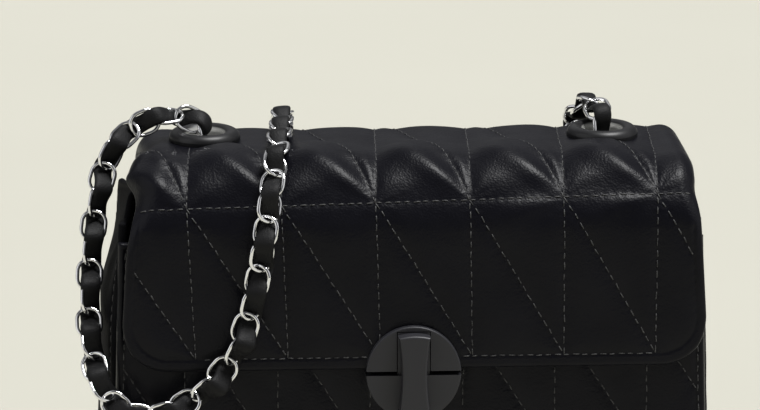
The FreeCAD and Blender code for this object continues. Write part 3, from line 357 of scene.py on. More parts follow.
def tube(points, normals, radii, sides=6):
    """Rings of points round many short lines at once: points are (lines, steps, 3)."""
    along = unit(np.gradient(points, axis=1))
    across = unit(np.cross(along, normals))
    up = np.cross(across, along)
    angle = np.arange(sides) * 2.0 * math.pi / sides
    ring = across[:, :, None] * np.cos(angle)[:, None] + up[:, :, None] * np.sin(angle)[:, None]
    return points[:, :, None] + ring * np.asarray(radii)[None, :, None, None]


def tube_faces(lines, steps, sides):
    """Side and end faces for rings of points round lines."""
    index = np.arange(lines * steps * sides).reshape(lines, steps, sides)
    after = np.roll(index, -1, axis=2)
    quads = np.stack([index[:, :-1], after[:, :-1], after[:, 1:], index[:, 1:]], axis=-1).reshape(-1, 4)
    ends = np.concatenate([index[:, 0, ::-1], index[:, -1]])
    return quads.tolist() + ends.tolist()


def flat_section(count, power):
    """Points round a flat section with rounded sides, from -1 to 1 across and through it."""
    angle = np.arange(count) * 2.0 * math.pi / count
    return [np.sign(wave) * np.abs(wave) ** power for wave in (np.cos(angle), np.sin(angle))]


def edge_round(distance, radius, depth):
    """How far a rounded rim falls away near its edge."""
    share = 1.0 - np.clip(distance / radius, 0.0, 1.0)
    return depth * (1.0 - np.sqrt(np.maximum(1.0 - share ** 2, 0.0)))


def cell_middles(grid):
    return (grid[:-1, :-1] + grid[1:, 1:]) / 2.0


def path_distances(path):
    """How far each point of a path lies along it."""
    return np.concatenate([[0.0], np.cumsum(np.linalg.norm(np.diff(path, axis=0), axis=1))])


def path_points(path, far, marks):
    return np.stack([np.interp(marks, far, places) for places in path.T], axis=-1)


# Quilting and stitches

QUILT_PITCH = 32.15
LINE_COUNT = 6
STITCH_PITCH, STITCH_LENGTH = 3.15, 2.25
STITCH_RUN = 24.0
THREAD_RADIUS = 0.21
# Places along a stitch, with its lift and its girth there
STITCH_SHARES = np.array([0.0, 0.12, 0.5, 0.88, 1.0])
STITCH_LIFTS = np.array([-0.3, 0.06, 0.2, 0.06, -0.3])
STITCH_GIRTH_SHARES = np.array([0.5, 0.95, 1.0, 0.95, 0.5])
# Unevenness of the stitches: size and rate of each wave from stitch to stitch
SWAY_WAVES = ((0.16, 2.4), (0.1, 5.3))
STRETCH_WAVE = (0.3, 3.7)
# Least distance from a seam that counts, and how sharply the nearest of several seams takes over
SEAM_FLOOR, SEAM_POWER = 0.05, 5.0
# Gathers beside a seam, and folds round a crossing: each wave's count, shift and size
PUCKER_HEIGHT, PUCKER_REACH = 0.07, 1.3
FOLD_WAVES = ((9.0, 1.0, 1.0), (15.0, 2.0, 0.6))
FOLD_REACH, FOLD_START = 6.0, 2.0
# Steps in which a run is tested, and the least that a part of it has to span
CLIP_STEPS, CLIP_LEAST = 120, 3
# Padding rises this much faster from a hem than from a seam
HEM_STEEPNESS = 1.5
# The leather lies this far in under the lock's plates and the eyelets
FITTING_SINK = 0.06
# Stitches stop this far from the lock and the eyelets
STITCH_GAP = 1.0


def segment_distance(x, y, start, end):
    """Distance from points to a straight stitch line, and how far along it they are."""
    start, end = np.array(start, float), np.array(end, float)
    run = end - start
    length = np.linalg.norm(run)
    along = ((x - start[0]) * run[0] + (y - start[1]) * run[1]) / length
    inside = np.clip(along, 0.0, length)
    return np.hypot(x - start[0] - inside * run[0] / length, y - start[1] - inside * run[1] / length), along


def quilt_distance(x, y, lines):
    """Rounded distance to the nearest of many stitch lines, with the place along that line."""
    near, place, total = np.full(x.shape, np.inf), np.zeros(x.shape), np.zeros(x.shape)
    for start, end in lines:
        distance, along = segment_distance(x, y, start, end)
        place = np.where(distance < near, along, place)
        near = np.minimum(near, distance)
        total += np.maximum(distance, SEAM_FLOOR) ** -SEAM_POWER
    return total ** (-1.0 / SEAM_POWER), place


def pucker(distance, place):
    """Small gathers that the thread pulls beside a stitch line."""
    wave = np.cos(2.0 * math.pi * place / STITCH_PITCH)
    return PUCKER_HEIGHT * np.exp(-distance / PUCKER_REACH) * wave


def node_folds(x, y, nodes):
    """Short folds that run out from the crossings of the stitch lines."""
    folds = np.zeros(x.shape)
    for number, (across, up) in enumerate(nodes):
        far = np.hypot(x - across, y - up)
        turn = np.arctan2(y - up, x - across)
        wave = sum(size * np.cos(count * turn + shift * number) for count, shift, size in FOLD_WAVES)
        folds += wave * np.exp(-far / FOLD_REACH) * (1.0 - np.exp(-far / FOLD_START))
    return folds


def stitch_rows(name, runs, surface, body):
    """Raised stitches along runs of a sheet; surface gives points from places on the sheet and a lift."""
    starts, ends = [], []
    for start, end in runs:
        start, end = np.array(start, float), np.array(end, float)
        count = max(int(np.linalg.norm(end - start) / STITCH_PITCH), 1)
        share = STITCH_LENGTH / STITCH_PITCH
        for number in range(count):
            starts.append(start + (end - start) * number / count)
            ends.append(start + (end - start) * (number + share) / count)
    starts, ends = np.array(starts), np.array(ends)
    number = np.arange(len(starts))[:, None]
    run = unit(ends - starts)
    sway = sum(size * np.sin(rate * number) for size, rate in SWAY_WAVES)
    starts = starts + run[:, ::-1] * (-1.0, 1.0) * sway
    ends = ends + run * STRETCH_WAVE[0] * np.sin(STRETCH_WAVE[1] * number)
    places = starts[:, None] + (ends - starts)[:, None] * STITCH_SHARES[None, :, None]
    lift = np.broadcast_to(STITCH_LIFTS, places.shape[:2])
    points = surface(places[..., 0], places[..., 1], lift)
    normals = surface(places[..., 0], places[..., 1], lift + 1.0) - points
    rings = tube(points, normals, THREAD_RADIUS * STITCH_GIRTH_SHARES)
    faces = tube_faces(len(points), len(STITCH_SHARES), rings.shape[2])
    return new_object(name, rings.reshape(-1, 3), faces, THREAD, body)


def clip_run(start, end, allowed):
    """The part of a run from its first allowed point to its last, or nothing."""
    share = np.linspace(0.0, 1.0, CLIP_STEPS)
    points = np.array(start)[None] + (np.array(end) - np.array(start))[None] * share[:, None]
    inside = allowed(points[:, 0], points[:, 1])
    if not inside.any():
        return None
    first = np.argmax(inside)
    last = CLIP_STEPS - 1 - np.argmax(inside[::-1])
    return (points[first], points[last]) if last - first > CLIP_LEAST else None


def split_run(start, end):
    """A run cut into shorter runs, each about a whole number of stitches."""
    start, end = np.array(start, float), np.array(end, float)
    total = np.linalg.norm(end - start)
    count = max(round(total / STITCH_PITCH / (STITCH_RUN // STITCH_PITCH)), 1)
    marks = [start + (end - start) * number / count for number in range(count + 1)]
    return list(zip(marks, marks[1:]))


def quilted_runs(lines, allowed):
    """The parts of the quilting lines where stitches are allowed."""
    runs = []
    for line in lines:
        for part in split_run(*line):
            kept = clip_run(*part, allowed)
            if kept and np.hypot(*(kept[1] - kept[0])) > STITCH_LENGTH:
                runs.append(kept)
    return runs


# Flap: its outer face unrolls to a sheet with s up from the lower edge and a to the right

FLAP_THICKNESS = 4.2
CROWN_FRONT_RADIUS, CROWN_REAR_RADIUS = 24.2, 16.0
CROWN_SLOPE = math.radians(4.0)
CROWN_SIDE_INSET = 2.8
FLAP_CORNER, CROWN_CORNER, FULL_CORNER = 17.0, 10.5, 6.8
EDGE_DROP = 1.2
# The soft bag leans and fills out unevenly: how far each side stands out
LEFT_LEAN, RIGHT_LEAN, RIGHT_FULLNESS = -3.0, 1.0, 1.9
LEAN_RISE, LEAN_TOP = 14.0, 2.0
# Sides roll inwards: a little on the front, and right round over a stretch below the crown
EDGE_ROLL = 6.0
EDGE_ROLL_TURN, CROWN_ROLL_TURN = math.radians(40.0), math.radians(88.0)
ROLL_RISE, ROLL_TOP = 26.0, 4.0
# The eyelets and the lock's plates lap over the leather, which is cut away beneath them
EYELET_REAR_GAP, EYELET_LAP, EYELET_CUT = 0.5, 1.0, 3.6
LOCK_LAP = 1.4
NOTCH_HALF, NOTCH_RISE = 6.1, 13.0
FITTING_EASE = 5.0
LOCK_GAP, EYELET_GAP = 0.3, 0.2

# Quilting lines: the first upright, the row of crossings, and how the lines lean and drift
FIRST_LINE = -77.0
NODE_HEIGHT, NODE_TILT = 58.6, 0.022
LINE_LEAN, LEAN_RATE = 1.2, -0.02
CROWN_DRIFT, DIAGONAL_DRIFT = 4.0, 6.5
HEM_ROW, REAR_ROW = 4.4, 135.2
HEM_START, HEM_END = -72.0, 80.0
HEM_RISE, HEM_STEP, HEM_TOLERANCE = 3.0, 0.5, 0.3
CORNER_STEPS = 30

# Depth of the seams, height of the puffs between them and how fast these rise
FRONT_SEAM, FRONT_PUFF, FRONT_REACH = -0.65, 0.95, 3.2
CROWN_SEAM, CROWN_PUFF, CROWN_REACH = -1.45, 2.0, 5.5
# Where the crown's padding begins about the row of crossings, and ends behind
CROWN_BELOW, CROWN_ABOVE, CROWN_END = 5.0, 9.0, 12.0
# Over the top the padding is lower by a share, and just below the row of crossings it lies flat and low
TOP_EASE, TOP_BEFORE, TOP_BEYOND = 0.3, 8.0, 26.0
ROW_DROP, ROW_SLACK, ROW_GAP = -0.8, 17.0, 1.0
# The hem's seam ends over a stretch of the arc; outside it the leather lies lower
HEM_FADE, HEM_RELEASE, HEM_OUTSIDE, HEM_INSIDE, HEM_LEVEL = 14.0, 30.0, 0.9, 0.2, -0.25
# Soft waves between the seams, folds at the crossings, and where the relief begins behind the rim
WAVE_HEIGHT, WAVE_LENGTH, WAVE_REACH = 0.2, 26.0, 4.0
FRONT_FOLD, CROWN_FOLD = 0.06, 0.1
RIM_START, RIM_END = 0.2, 2.4

# Ridges of the crown: start beside a crossing, slope, length, spread and height
RIDGES = (
    ((0.0, 0.0), math.radians(44.0), 50.0, 2.2, 1.7),
    ((-0.5, 12.0), math.radians(57.0), 40.0, 2.0, 1.5),
)
FULL_SIDE_RIDGE = ((0.0, 0.0), math.radians(-16.0), 30.0, 2.4, 0.9)
RIDGE_WIDENING, RIDGE_START_SHARE, RIDGE_END_SHARE = 0.13, 0.4, 0.5
# Fullest place of each crown cell, left of and above its crossing, with its spread and height
CELL_PLACE, CELL_SPREAD, CELL_HEIGHT = (-18.0, 27.0), (13.0, 13.0), 2.2

# Fineness of the flap's mesh, and how much of its columns crowd towards the sides
FLAP_COLUMNS, FLAP_STEP = 330, 0.66
CROWD_SHARE, CROWD_TURN = 0.35, 0.49 * math.pi

# Lining of the flap
LAYER_GAP, CLOTH_THICKNESS = 0.1, 0.8
CLOTH_INSET, CLOTH_SIDE, CLOTH_RIM = 2.5, 0.6, 0.4
CLOTH_COLUMNS, CLOTH_STEP = 170, 1.2
CLOTH_WAVE, CLOTH_WAVE_LENGTH = 0.06, 14.0
CLOTH_EYELET_CUT, CLOTH_NOTCH_HALF, CLOTH_NOTCH_RISE = 3.4, 8.6, 15.4

FRONT_Y, REAR_Y = FLAP_LOW[1], FLAP_HIGH[1]
EDGE_Z, CROWN_Z = FLAP_LOW[2] - EDGE_DROP, FLAP_HIGH[2]
FRONT_TURN = math.pi / 2 - CROWN_SLOPE
REAR_TURN = math.pi / 2 + CROWN_SLOPE
REAR_CENTRE_Z = CROWN_Z - CROWN_REAR_RADIUS
CROWN_BACK_Y = REAR_Y - CROWN_REAR_RADIUS * (1.0 + math.sin(CROWN_SLOPE))
CROWN_BACK_Z = REAR_CENTRE_Z + CROWN_REAR_RADIUS * math.cos(CROWN_SLOPE)
CROWN_FRONT_Y = FRONT_Y + CROWN_FRONT_RADIUS * (1.0 - math.sin(CROWN_SLOPE))
CROWN_LENGTH = (CROWN_BACK_Y - CROWN_FRONT_Y) / math.cos(CROWN_SLOPE)
CROWN_FRONT_Z = CROWN_BACK_Z - CROWN_LENGTH * math.sin(CROWN_SLOPE)
ARC_START = CROWN_FRONT_Z - CROWN_FRONT_RADIUS * math.cos(CROWN_SLOPE) - EDGE_Z
CROWN_START = ARC_START + CROWN_FRONT_RADIUS * FRONT_TURN
REAR_START = CROWN_START + CROWN_LENGTH
DROP_START = REAR_START + CROWN_REAR_RADIUS * REAR_TURN
FLAP_LENGTH = DROP_START + REAR_CENTRE_Z - HINGE_Z + FLAP_THICKNESS / 2
FLAP_HALF_WIDTH = FLAP_HIGH[0]
CROWN_HALF_WIDTH = FLAP_HALF_WIDTH - CROWN_SIDE_INSET
EYELET_A = (EYELET_LOW[0] + EYELET_HIGH[0]) / 2
EYELET_OUTER = (EYELET_HIGH[0] - EYELET_LOW[0]) / 2
EYELET_S = REAR_START - EYELET_OUTER - EYELET_REAR_GAP
EYELET_RADIUS = EYELET_OUTER - EYELET_LAP
LOCK_RADIUS = (PLATE_HIGH[0] - PLATE_LOW[0]) / 2 - LOCK_LAP


def flap_profile(s):
    """Places (y, z) and outward directions of the flap's outer face in side view."""
    front = np.clip((s - ARC_START) / CROWN_FRONT_RADIUS, 0.0, FRONT_TURN)
    rear = np.clip((s - REAR_START) / CROWN_REAR_RADIUS, 0.0, REAR_TURN)
    rise = np.minimum(s, ARC_START)
    run = np.clip(s - CROWN_START, 0.0, CROWN_LENGTH)
    drop = np.maximum(s - DROP_START, 0.0)
    turn = front + rear
    y = (FRONT_Y + CROWN_FRONT_RADIUS * (1.0 - np.cos(front)) + run * math.sin(FRONT_TURN)
         + CROWN_REAR_RADIUS * (math.cos(FRONT_TURN) - np.cos(FRONT_TURN + rear)))
    z = (EDGE_Z + rise + CROWN_FRONT_RADIUS * np.sin(front) + run * math.cos(FRONT_TURN)
         + CROWN_REAR_RADIUS * (np.sin(FRONT_TURN + rear) - math.sin(FRONT_TURN)) - drop)
    return y, z, -np.cos(turn), np.sin(turn)


def flap_roll(s, a):
    """Half width of the flat part, and the radius and turn with which a side rolls inwards."""
    z = flap_profile(s)[1]
    right = np.where(np.asarray(a) > 0, 1.0, 0.0)
    shoulder = CROWN_Z - CROWN_CORNER
    half = np.interp(z, [EDGE_Z + FLAP_CORNER, shoulder], [FLAP_HALF_WIDTH, CROWN_HALF_WIDTH])
    crown = smoothstep(z, shoulder - ROLL_RISE, shoulder + ROLL_TOP)
    narrow = smoothstep(z, shoulder - LEAN_RISE, shoulder + LEAN_TOP)
    right_lean = RIGHT_FULLNESS + (RIGHT_LEAN - RIGHT_FULLNESS) * narrow
    half = half + crown * LEFT_LEAN * (1.0 - right) + right_lean * right
    corner = CROWN_CORNER + (FULL_CORNER - CROWN_CORNER) * right
    radius = EDGE_ROLL + (corner - EDGE_ROLL) * crown
    turn = EDGE_ROLL_TURN + (CROWN_ROLL_TURN - EDGE_ROLL_TURN) * crown
    return half - radius * np.sin(turn), radius, turn


def flap_reach(s, a):
    """Half width of the unrolled flap on one side, without its rounded lower corners."""
    flat, radius, turn = flap_roll(s, a)
    return flat + radius * turn


def flap_edge_distance(a, s):
    """Distance from the flap's sewn edge, measured on the sheet."""
    reach = flap_reach(s, a)
    far_across = np.abs(a) - (reach - FLAP_CORNER)
    far_down = FLAP_CORNER - s
    corner = FLAP_CORNER - np.hypot(far_across, far_down)
    edge = np.where((far_across > 0) & (far_down > 0), corner, np.minimum(reach - np.abs(a), s))
    return np.minimum(edge, FLAP_LENGTH - s)


def lock_distance(a, s):
    return np.hypot(a, s + EDGE_Z - LOCK_Z)


def eyelet_distance(a, s):
    return np.hypot(np.abs(a) - EYELET_A, s - EYELET_S)


def flap_surface(a, s, offset):
    """Points of the flap at places on its sheet, off its outer face by an offset."""
    y, z, out_y, out_z = flap_profile(s)
    flat, radius, _ = flap_roll(s, a)
    turn = np.maximum(np.abs(a) - flat, 0.0) / radius
    x = np.sign(a) * (np.minimum(np.abs(a), flat) + (radius + offset) * np.sin(turn))
    lift = (radius + offset) * np.cos(turn) - radius
    return np.stack([x, y + out_y * lift, z + out_z * lift], axis=-1)


def node_height(x):
    return NODE_HEIGHT + NODE_TILT * x


# Where the upright stitch lines stand at the crossings, and where they end below
LINE_TOPS = [FIRST_LINE + QUILT_PITCH * number for number in range(-1, LINE_COUNT + 1)]
LINE_FEET = [top + LINE_LEAN + LEAN_RATE * top for top in LINE_TOPS]
FLAP_NODES = [(top, node_height(top)) for top in LINE_TOPS]


def flap_lines():
    """Straight quilting lines of the flap: those of its front, those of its crown and the cross rows."""
    lines = [((LINE_FEET[number], HEM_ROW), FLAP_NODES[number]) for number in range(1, LINE_COUNT + 1)]
    for number in range(0, LINE_COUNT + 1):
        lines.append((FLAP_NODES[number], (LINE_FEET[number + 1], HEM_ROW)))
    for number in range(1, LINE_COUNT + 1):
        lines.append((FLAP_NODES[number], (LINE_TOPS[number] + CROWN_DRIFT, REAR_ROW)))
    for number in range(0, LINE_COUNT):
        lines.append((FLAP_NODES[number + 1], (LINE_TOPS[number] + DIAGONAL_DRIFT, REAR_ROW)))
    lines.append((FLAP_NODES[0], FLAP_NODES[-1]))
    lines.append(((LINE_TOPS[0], REAR_ROW), (LINE_TOPS[-1], REAR_ROW)))
    return lines


FLAP_LINES = flap_lines()


def one_ridge(a, s, node, start, slope, length, spread, height):
    """One ridge that leaves a crossing, widens and dies away."""
    right, rise = a - node[0] - start[0], s - node[1] - start[1]
    along = rise * math.sin(slope) - right * math.cos(slope)
    beside = rise * math.cos(slope) + right * math.sin(slope)
    ends = between(along, (0.0, length * RIDGE_START_SHARE), (length * RIDGE_END_SHARE, length))
    return height * ends * np.exp(-(beside / (spread + RIDGE_WIDENING * np.maximum(along, 0.0))) ** 2)


def crown_ridges(a, s):
    """Taut ridges that run up and left from each crossing, and the fullest place of each crown cell."""
    total = np.zeros(a.shape)
    for node in FLAP_NODES[:-1]:
        for ridge in RIDGES:
            total += one_ridge(a, s, node, *ridge)
        right, rise = a - node[0] - CELL_PLACE[0], s - node[1] - CELL_PLACE[1]
        total += CELL_HEIGHT * np.exp(-(right / CELL_SPREAD[0]) ** 2 - (rise / CELL_SPREAD[1]) ** 2)
    return total


def padding(distance, seam, puff, reach):
    """Height of the padding at a distance from the nearest seam."""
    return seam + puff * (1.0 - np.exp(-distance / reach))


def flap_height(a, s):
    """Quilted relief of the flap's outer face, above its plain face."""
    distance, place = quilt_distance(a, s, FLAP_LINES)
    edge = flap_edge_distance(a, s)
    low = 1.0 - smoothstep(s, ARC_START, ARC_START + HEM_FADE)
    hem_distance = np.maximum(edge - HEM_ROW, 0.0) * HEM_STEEPNESS + SEAM_FLOOR
    hem_distance = hem_distance + HEM_RELEASE * (1.0 - low)
    distance = np.where(low > 0.0, np.minimum(distance, hem_distance), distance)
    above = s - node_height(a)
    crown = smoothstep(above, -CROWN_BELOW, CROWN_ABOVE)
    crown = crown * (1.0 - smoothstep(s, REAR_START + CROWN_END, REAR_ROW))
    front_puff = padding(distance, FRONT_SEAM, FRONT_PUFF, FRONT_REACH)
    front_puff = front_puff + (ROW_DROP - front_puff) * smoothstep(above, -ROW_SLACK, -ROW_GAP)
    crown_puff = padding(distance, CROWN_SEAM, CROWN_PUFF, CROWN_REACH)
    height = front_puff + (crown_puff - front_puff) * crown
    height *= 1.0 - TOP_EASE * smoothstep(s, CROWN_START - TOP_BEFORE, CROWN_START + TOP_BEYOND)
    height += crown * crown_ridges(a, s) + pucker(distance, place)
    for node in FLAP_NODES[-3:-1]:
        height += one_ridge(a, s, node, *FULL_SIDE_RIDGE)
    height += WAVE_HEIGHT * soft_noise(a, s, WAVE_LENGTH, 1.0) * (1.0 - np.exp(-distance / WAVE_REACH))
    height += (FRONT_FOLD + CROWN_FOLD * crown) * node_folds(a, s, FLAP_NODES)
    hem = np.maximum(smoothstep(edge, HEM_ROW - HEM_OUTSIDE, HEM_ROW + HEM_INSIDE), 1.0 - low)
    height = height * hem + (1.0 - hem) * HEM_LEVEL
    lock, eyelet = lock_distance(a, s) - LOCK_RADIUS, eyelet_distance(a, s) - EYELET_RADIUS
    clear = smoothstep(lock, LOCK_GAP, FITTING_EASE) * smoothstep(eyelet, EYELET_GAP, FITTING_EASE)
    return height * clear - FITTING_SINK * (1.0 - clear)


def flap_rim(a, s):
    """How far the flap's rounded rim falls away."""
    return edge_round(flap_edge_distance(a, s), FLAP_THICKNESS / 2, FLAP_THICKNESS / 2)


def flap_face(a, s, lift):
    """Points of the flap's quilted outer face, or above it by a lift."""
    inside = smoothstep(flap_edge_distance(a, s), RIM_START, RIM_END)
    return flap_surface(a, s, flap_height(a, s) * inside - flap_rim(a, s) + lift)


def corner_inset(s, radius):
    """How far the rounded lower corners draw the sides in."""
    bend = np.maximum(FLAP_CORNER - s, 0.0)
    return radius - np.sqrt(np.maximum(radius ** 2 - bend ** 2, 0.0))


def flap_grid():
    """Places on the flap's sheet, finer where the lower corners turn."""
    turn = np.linspace(0.0, math.pi / 2, CORNER_STEPS)
    low = FLAP_CORNER * (1.0 - np.cos(turn))
    high = np.arange(FLAP_CORNER + FLAP_STEP, FLAP_LENGTH, FLAP_STEP)
    s = np.concatenate([low, high, [FLAP_LENGTH]])
    corner = corner_inset(s, FLAP_CORNER)
    even = np.linspace(-1.0, 1.0, FLAP_COLUMNS)
    crowded = np.sin(even * CROWD_TURN) / math.sin(CROWD_TURN)
    share = CROWD_SHARE * crowded + (1.0 - CROWD_SHARE) * even
    left, right = flap_reach(s, -1.0) - corner, flap_reach(s, 1.0) - corner
    a = np.where(share[None, :] < 0, left[:, None], right[:, None]) * share[None, :]
    return a, np.broadcast_to(s[:, None], a.shape)


def flap_cells(a, s, eyelet_cut, notch_half, notch_rise):
    """Which cells of a sheet on the flap stay: all but those in the eyelets and the lock's notch."""
    a, s = cell_middles(a), cell_middles(s)
    hole = eyelet_distance(a, s) < EYELET_RADIUS - eyelet_cut
    notch = (np.abs(a) < notch_half) & (s < notch_rise + EDGE_DROP)
    return ~(hole | notch)


def make_flap():
    a, s = flap_grid()
    outer = flap_face(a, s, 0.0)
    inner = flap_surface(a, s, -FLAP_THICKNESS + flap_rim(a, s))
    join_rims(outer, inner)
    keep = flap_cells(a, s, EYELET_CUT, NOTCH_HALF, NOTCH_RISE)
    flap = shell("flap_skin", outer, inner, LEATHER, "flap", keep)
    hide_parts("flap_panel")


def hem_runs():
    """One run for each stitch along the flap's lower outline."""
    path = []
    radius = FLAP_CORNER - HEM_ROW
    for side in (-1.0, 1.0):
        rises = np.arange(FLAP_CORNER + HEM_RISE, FLAP_CORNER, -HEM_STEP)
        half = [(side * (flap_reach(s, side) - HEM_ROW), s) for s in rises]
        centre = flap_reach(FLAP_CORNER, side) - FLAP_CORNER
        for turn in np.linspace(0.0, math.pi / 2, CORNER_STEPS):
            half.append((side * (centre + radius * math.cos(turn)), FLAP_CORNER - radius * math.sin(turn)))
        path += half if side < 0 else half[::-1]
    path = np.array(path, float)
    far = path_distances(path)
    places = path_points(path, far, np.arange(0.0, far[-1], STITCH_PITCH))
    return list(zip(places, places[1:]))


def flap_stitches():
    """Stitches on the quilting lines and the hem row of the flap."""

    def allowed(a, s):
        clear = lock_distance(a, s) > LOCK_RADIUS + STITCH_GAP
        clear = clear & (eyelet_distance(a, s) > EYELET_RADIUS + STITCH_GAP)
        return (flap_edge_distance(a, s) > HEM_ROW - HEM_TOLERANCE) & clear

    runs = quilted_runs(FLAP_LINES, allowed)
    for run in hem_runs():
        if HEM_START < run[0][0] < HEM_END and lock_distance(*run[0]) > LOCK_RADIUS + STITCH_GAP:
            runs.append(run)
    stitch_rows("flap_stitches", runs, flap_face, "flap")


def make_flap_lining():
    """Cloth under the flap, inside its rolled sides."""
    near = FLAP_THICKNESS + LAYER_GAP
    s = np.arange(CLOTH_INSET, FLAP_LENGTH - FLAP_THICKNESS / 2 - CLOTH_INSET, CLOTH_STEP)
    flat = np.minimum(flap_roll(s, -1.0)[0], flap_roll(s, 1.0)[0])
    half = flat - CLOTH_SIDE - corner_inset(s, FLAP_CORNER - CLOTH_INSET)
    a = half[:, None] * np.linspace(-1.0, 1.0, CLOTH_COLUMNS)[None]
    s = np.broadcast_to(s[:, None], a.shape)
    ripple = CLOTH_WAVE * soft_noise(a, s, CLOTH_WAVE_LENGTH, 4.0)
    edge = np.minimum(half[:, None] - np.abs(a), s - CLOTH_INSET)
    rim = edge_round(edge, CLOTH_RIM, CLOTH_THICKNESS / 2)
    lower = flap_surface(a, s, -near - CLOTH_THICKNESS + rim - np.abs(ripple))
    upper = flap_surface(a, s, -near - rim)
    keep = flap_cells(a, s, CLOTH_EYELET_CUT, CLOTH_NOTCH_HALF, CLOTH_NOTCH_RISE)
    lining = shell("flap_lining_cloth", upper, lower, LINING_CLOTH, "flap", keep)
    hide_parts("flap_lining")


make_flap()
flap_stitches()
make_flap_lining()


# Body panels

# The walls narrow towards the mouth by this much on each side
MOUTH_TAPER = 3.0
# Quilting lines: how much closer than on the flap, the first uprights, and the rows of crossings
PITCH_LOSS = 0.35
PANEL_PITCH = QUILT_PITCH - PITCH_LOSS
FRONT_FIRST_LINE, BACK_FIRST_LINE = -77.9, -81.4
PANEL_LOW_ROW, PANEL_NODE_ROW, PANEL_ROW_STEP = 33.9, 82.7, 50.0
# Padding, waves and folds as on the flap, then the hem, the rim and the room round the lock
PANEL_SEAM, PANEL_PUFF, PANEL_REACH, PANEL_TOP = -0.75, 1.05, 3.0, 0.3
PANEL_WAVE, PANEL_WAVE_LENGTH, PANEL_FOLD = 0.15, 24.0, 0.12
PANEL_FOOT, PANEL_HEM, PANEL_SEAM_INSET = 0.2, 3.0, 2.6
PANEL_RIM_START, PANEL_RIM_END = 0.8, 3.2
PANEL_LOCK_GAP, PANEL_LOCK_EASE, STEM_HOLE = 0.2, 4.0, 2.6
# Fineness of a panel's mesh: fine rows at its foot and top, plain rows between, and columns
PANEL_FINE_RUN, PANEL_FINE_ROWS, PANEL_STEP, PANEL_COLUMNS = 3.0, 10, 0.72, 300
PANEL_FIRST_GAP, PANEL_LAST_RUN = 0.7, 2.8
PANEL_CROWD_SHARE = 0.08


def wall_half(z):
    """Half width of the body at a height."""
    return FRONT_HIGH[0] - MOUTH_TAPER * np.asarray(z, float) / GUSSET_HIGH[2]


def panel_lines(first, top, mirror):
    """Quilting lines of a flat body panel, in places across and up, and their crossings."""
    tops = [first + PANEL_PITCH * number for number in range(-1, LINE_COUNT + 1)]
    rows = (PANEL_LOW_ROW - PANEL_ROW_STEP, PANEL_LOW_ROW, PANEL_NODE_ROW, PANEL_NODE_ROW + PANEL_ROW_STEP)
    lines = [((x, 0.0), (x, top)) for x in tops]
    nodes = [(x, row) for x in tops for row in rows[1:3]]
    for low, high in zip(rows, rows[1:]):
        for left, right in zip(tops, tops[1:]):
            lines.append(((left, low), (right, high)) if mirror else ((left, high), (right, low)))
    lines += [((tops[0], row), (tops[-1], row)) for row in rows[1:3]]
    return lines, nodes


def make_panel(name, node, face_y, inner_y, top, first, mirror, has_lock):
    """Quilted body panel with rounded rims, and its stitches."""
    out = math.copysign(1.0, face_y)
    lines, nodes = panel_lines(first, top, mirror)
    half = abs(face_y - inner_y) / 2

    def edge_distance(x, z):
        return np.minimum(np.minimum(wall_half(z) - np.abs(x), top - z), z + PANEL_FOOT)

    def height(x, z):
        distance, place = quilt_distance(x, z, lines)
        edge = edge_distance(x, z)
        distance = np.minimum(distance, np.maximum(edge - PANEL_HEM, 0.0) * HEM_STEEPNESS + SEAM_FLOOR)
        relief = padding(distance, PANEL_SEAM, PANEL_PUFF, PANEL_REACH) + pucker(distance, place)
        relief += PANEL_WAVE * soft_noise(x, z, PANEL_WAVE_LENGTH, 2.0) + PANEL_FOLD * node_folds(x, z, nodes)
        relief = relief * smoothstep(edge, PANEL_RIM_START, PANEL_RIM_END)
        if has_lock:
            far = np.hypot(x, z - LOCK_Z)
            lock = smoothstep(far, LOCK_RADIUS + PANEL_LOCK_GAP, LOCK_RADIUS + PANEL_LOCK_EASE)
            relief = relief * lock - FITTING_SINK * (1.0 - lock)
        return np.minimum(relief, PANEL_TOP)

    def surface(x, z, lift):
        offset = height(x, z) - edge_round(edge_distance(x, z), half, half) + lift
        return np.stack([x, face_y + out * offset, np.broadcast_to(z, x.shape)], axis=-1)

    def allowed(x, z):
        clear = np.hypot(x, z - LOCK_Z) > LOCK_RADIUS + STITCH_GAP
        return (edge_distance(x, z) > PANEL_SEAM_INSET) & (clear | (not has_lock))

    z = np.concatenate([
        np.linspace(0.0, PANEL_FINE_RUN, PANEL_FINE_ROWS),
        np.arange(PANEL_FINE_RUN + PANEL_FIRST_GAP, top - PANEL_FINE_RUN, PANEL_STEP),
        np.linspace(top - PANEL_LAST_RUN, top, PANEL_FINE_ROWS),
    ])
    share = np.linspace(-1.0, 1.0, PANEL_COLUMNS)
    share = (1.0 - PANEL_CROWD_SHARE) * share + PANEL_CROWD_SHARE * np.sin(share * math.pi / 2)
    x = wall_half(z)[:, None] * share[None]
    z = np.broadcast_to(z[:, None], x.shape)
    outer = surface(x, z, np.zeros(x.shape))
    rim = edge_round(edge_distance(x, z), half, half)
    inner = np.stack([x, inner_y + out * rim, z], axis=-1)
    join_rims(outer, inner)
    if out > 0:
        outer, inner, x, z = outer[:, ::-1], inner[:, ::-1], x[:, ::-1], z[:, ::-1]
    keep = None
    if has_lock:
        keep = np.hypot(cell_middles(x), cell_middles(z) - LOCK_Z) > STEM_HOLE
    panel = shell(name, outer, inner, LEATHER, "bag_body", keep)
    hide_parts(node)

    runs = quilted_runs(lines, allowed)
    foot_x, top_x = wall_half(0.0) - PANEL_SEAM_INSET, wall_half(top) - PANEL_SEAM_INSET
    top_z = top - PANEL_SEAM_INSET
    runs += split_run((-top_x, top_z), (top_x, top_z))
    for sign in (-1.0, 1.0):
        runs += split_run((sign * foot_x, PANEL_SEAM_INSET), (sign * top_x, top_z))
    stitch_rows(f"{name}_stitches", runs, surface, "bag_body")


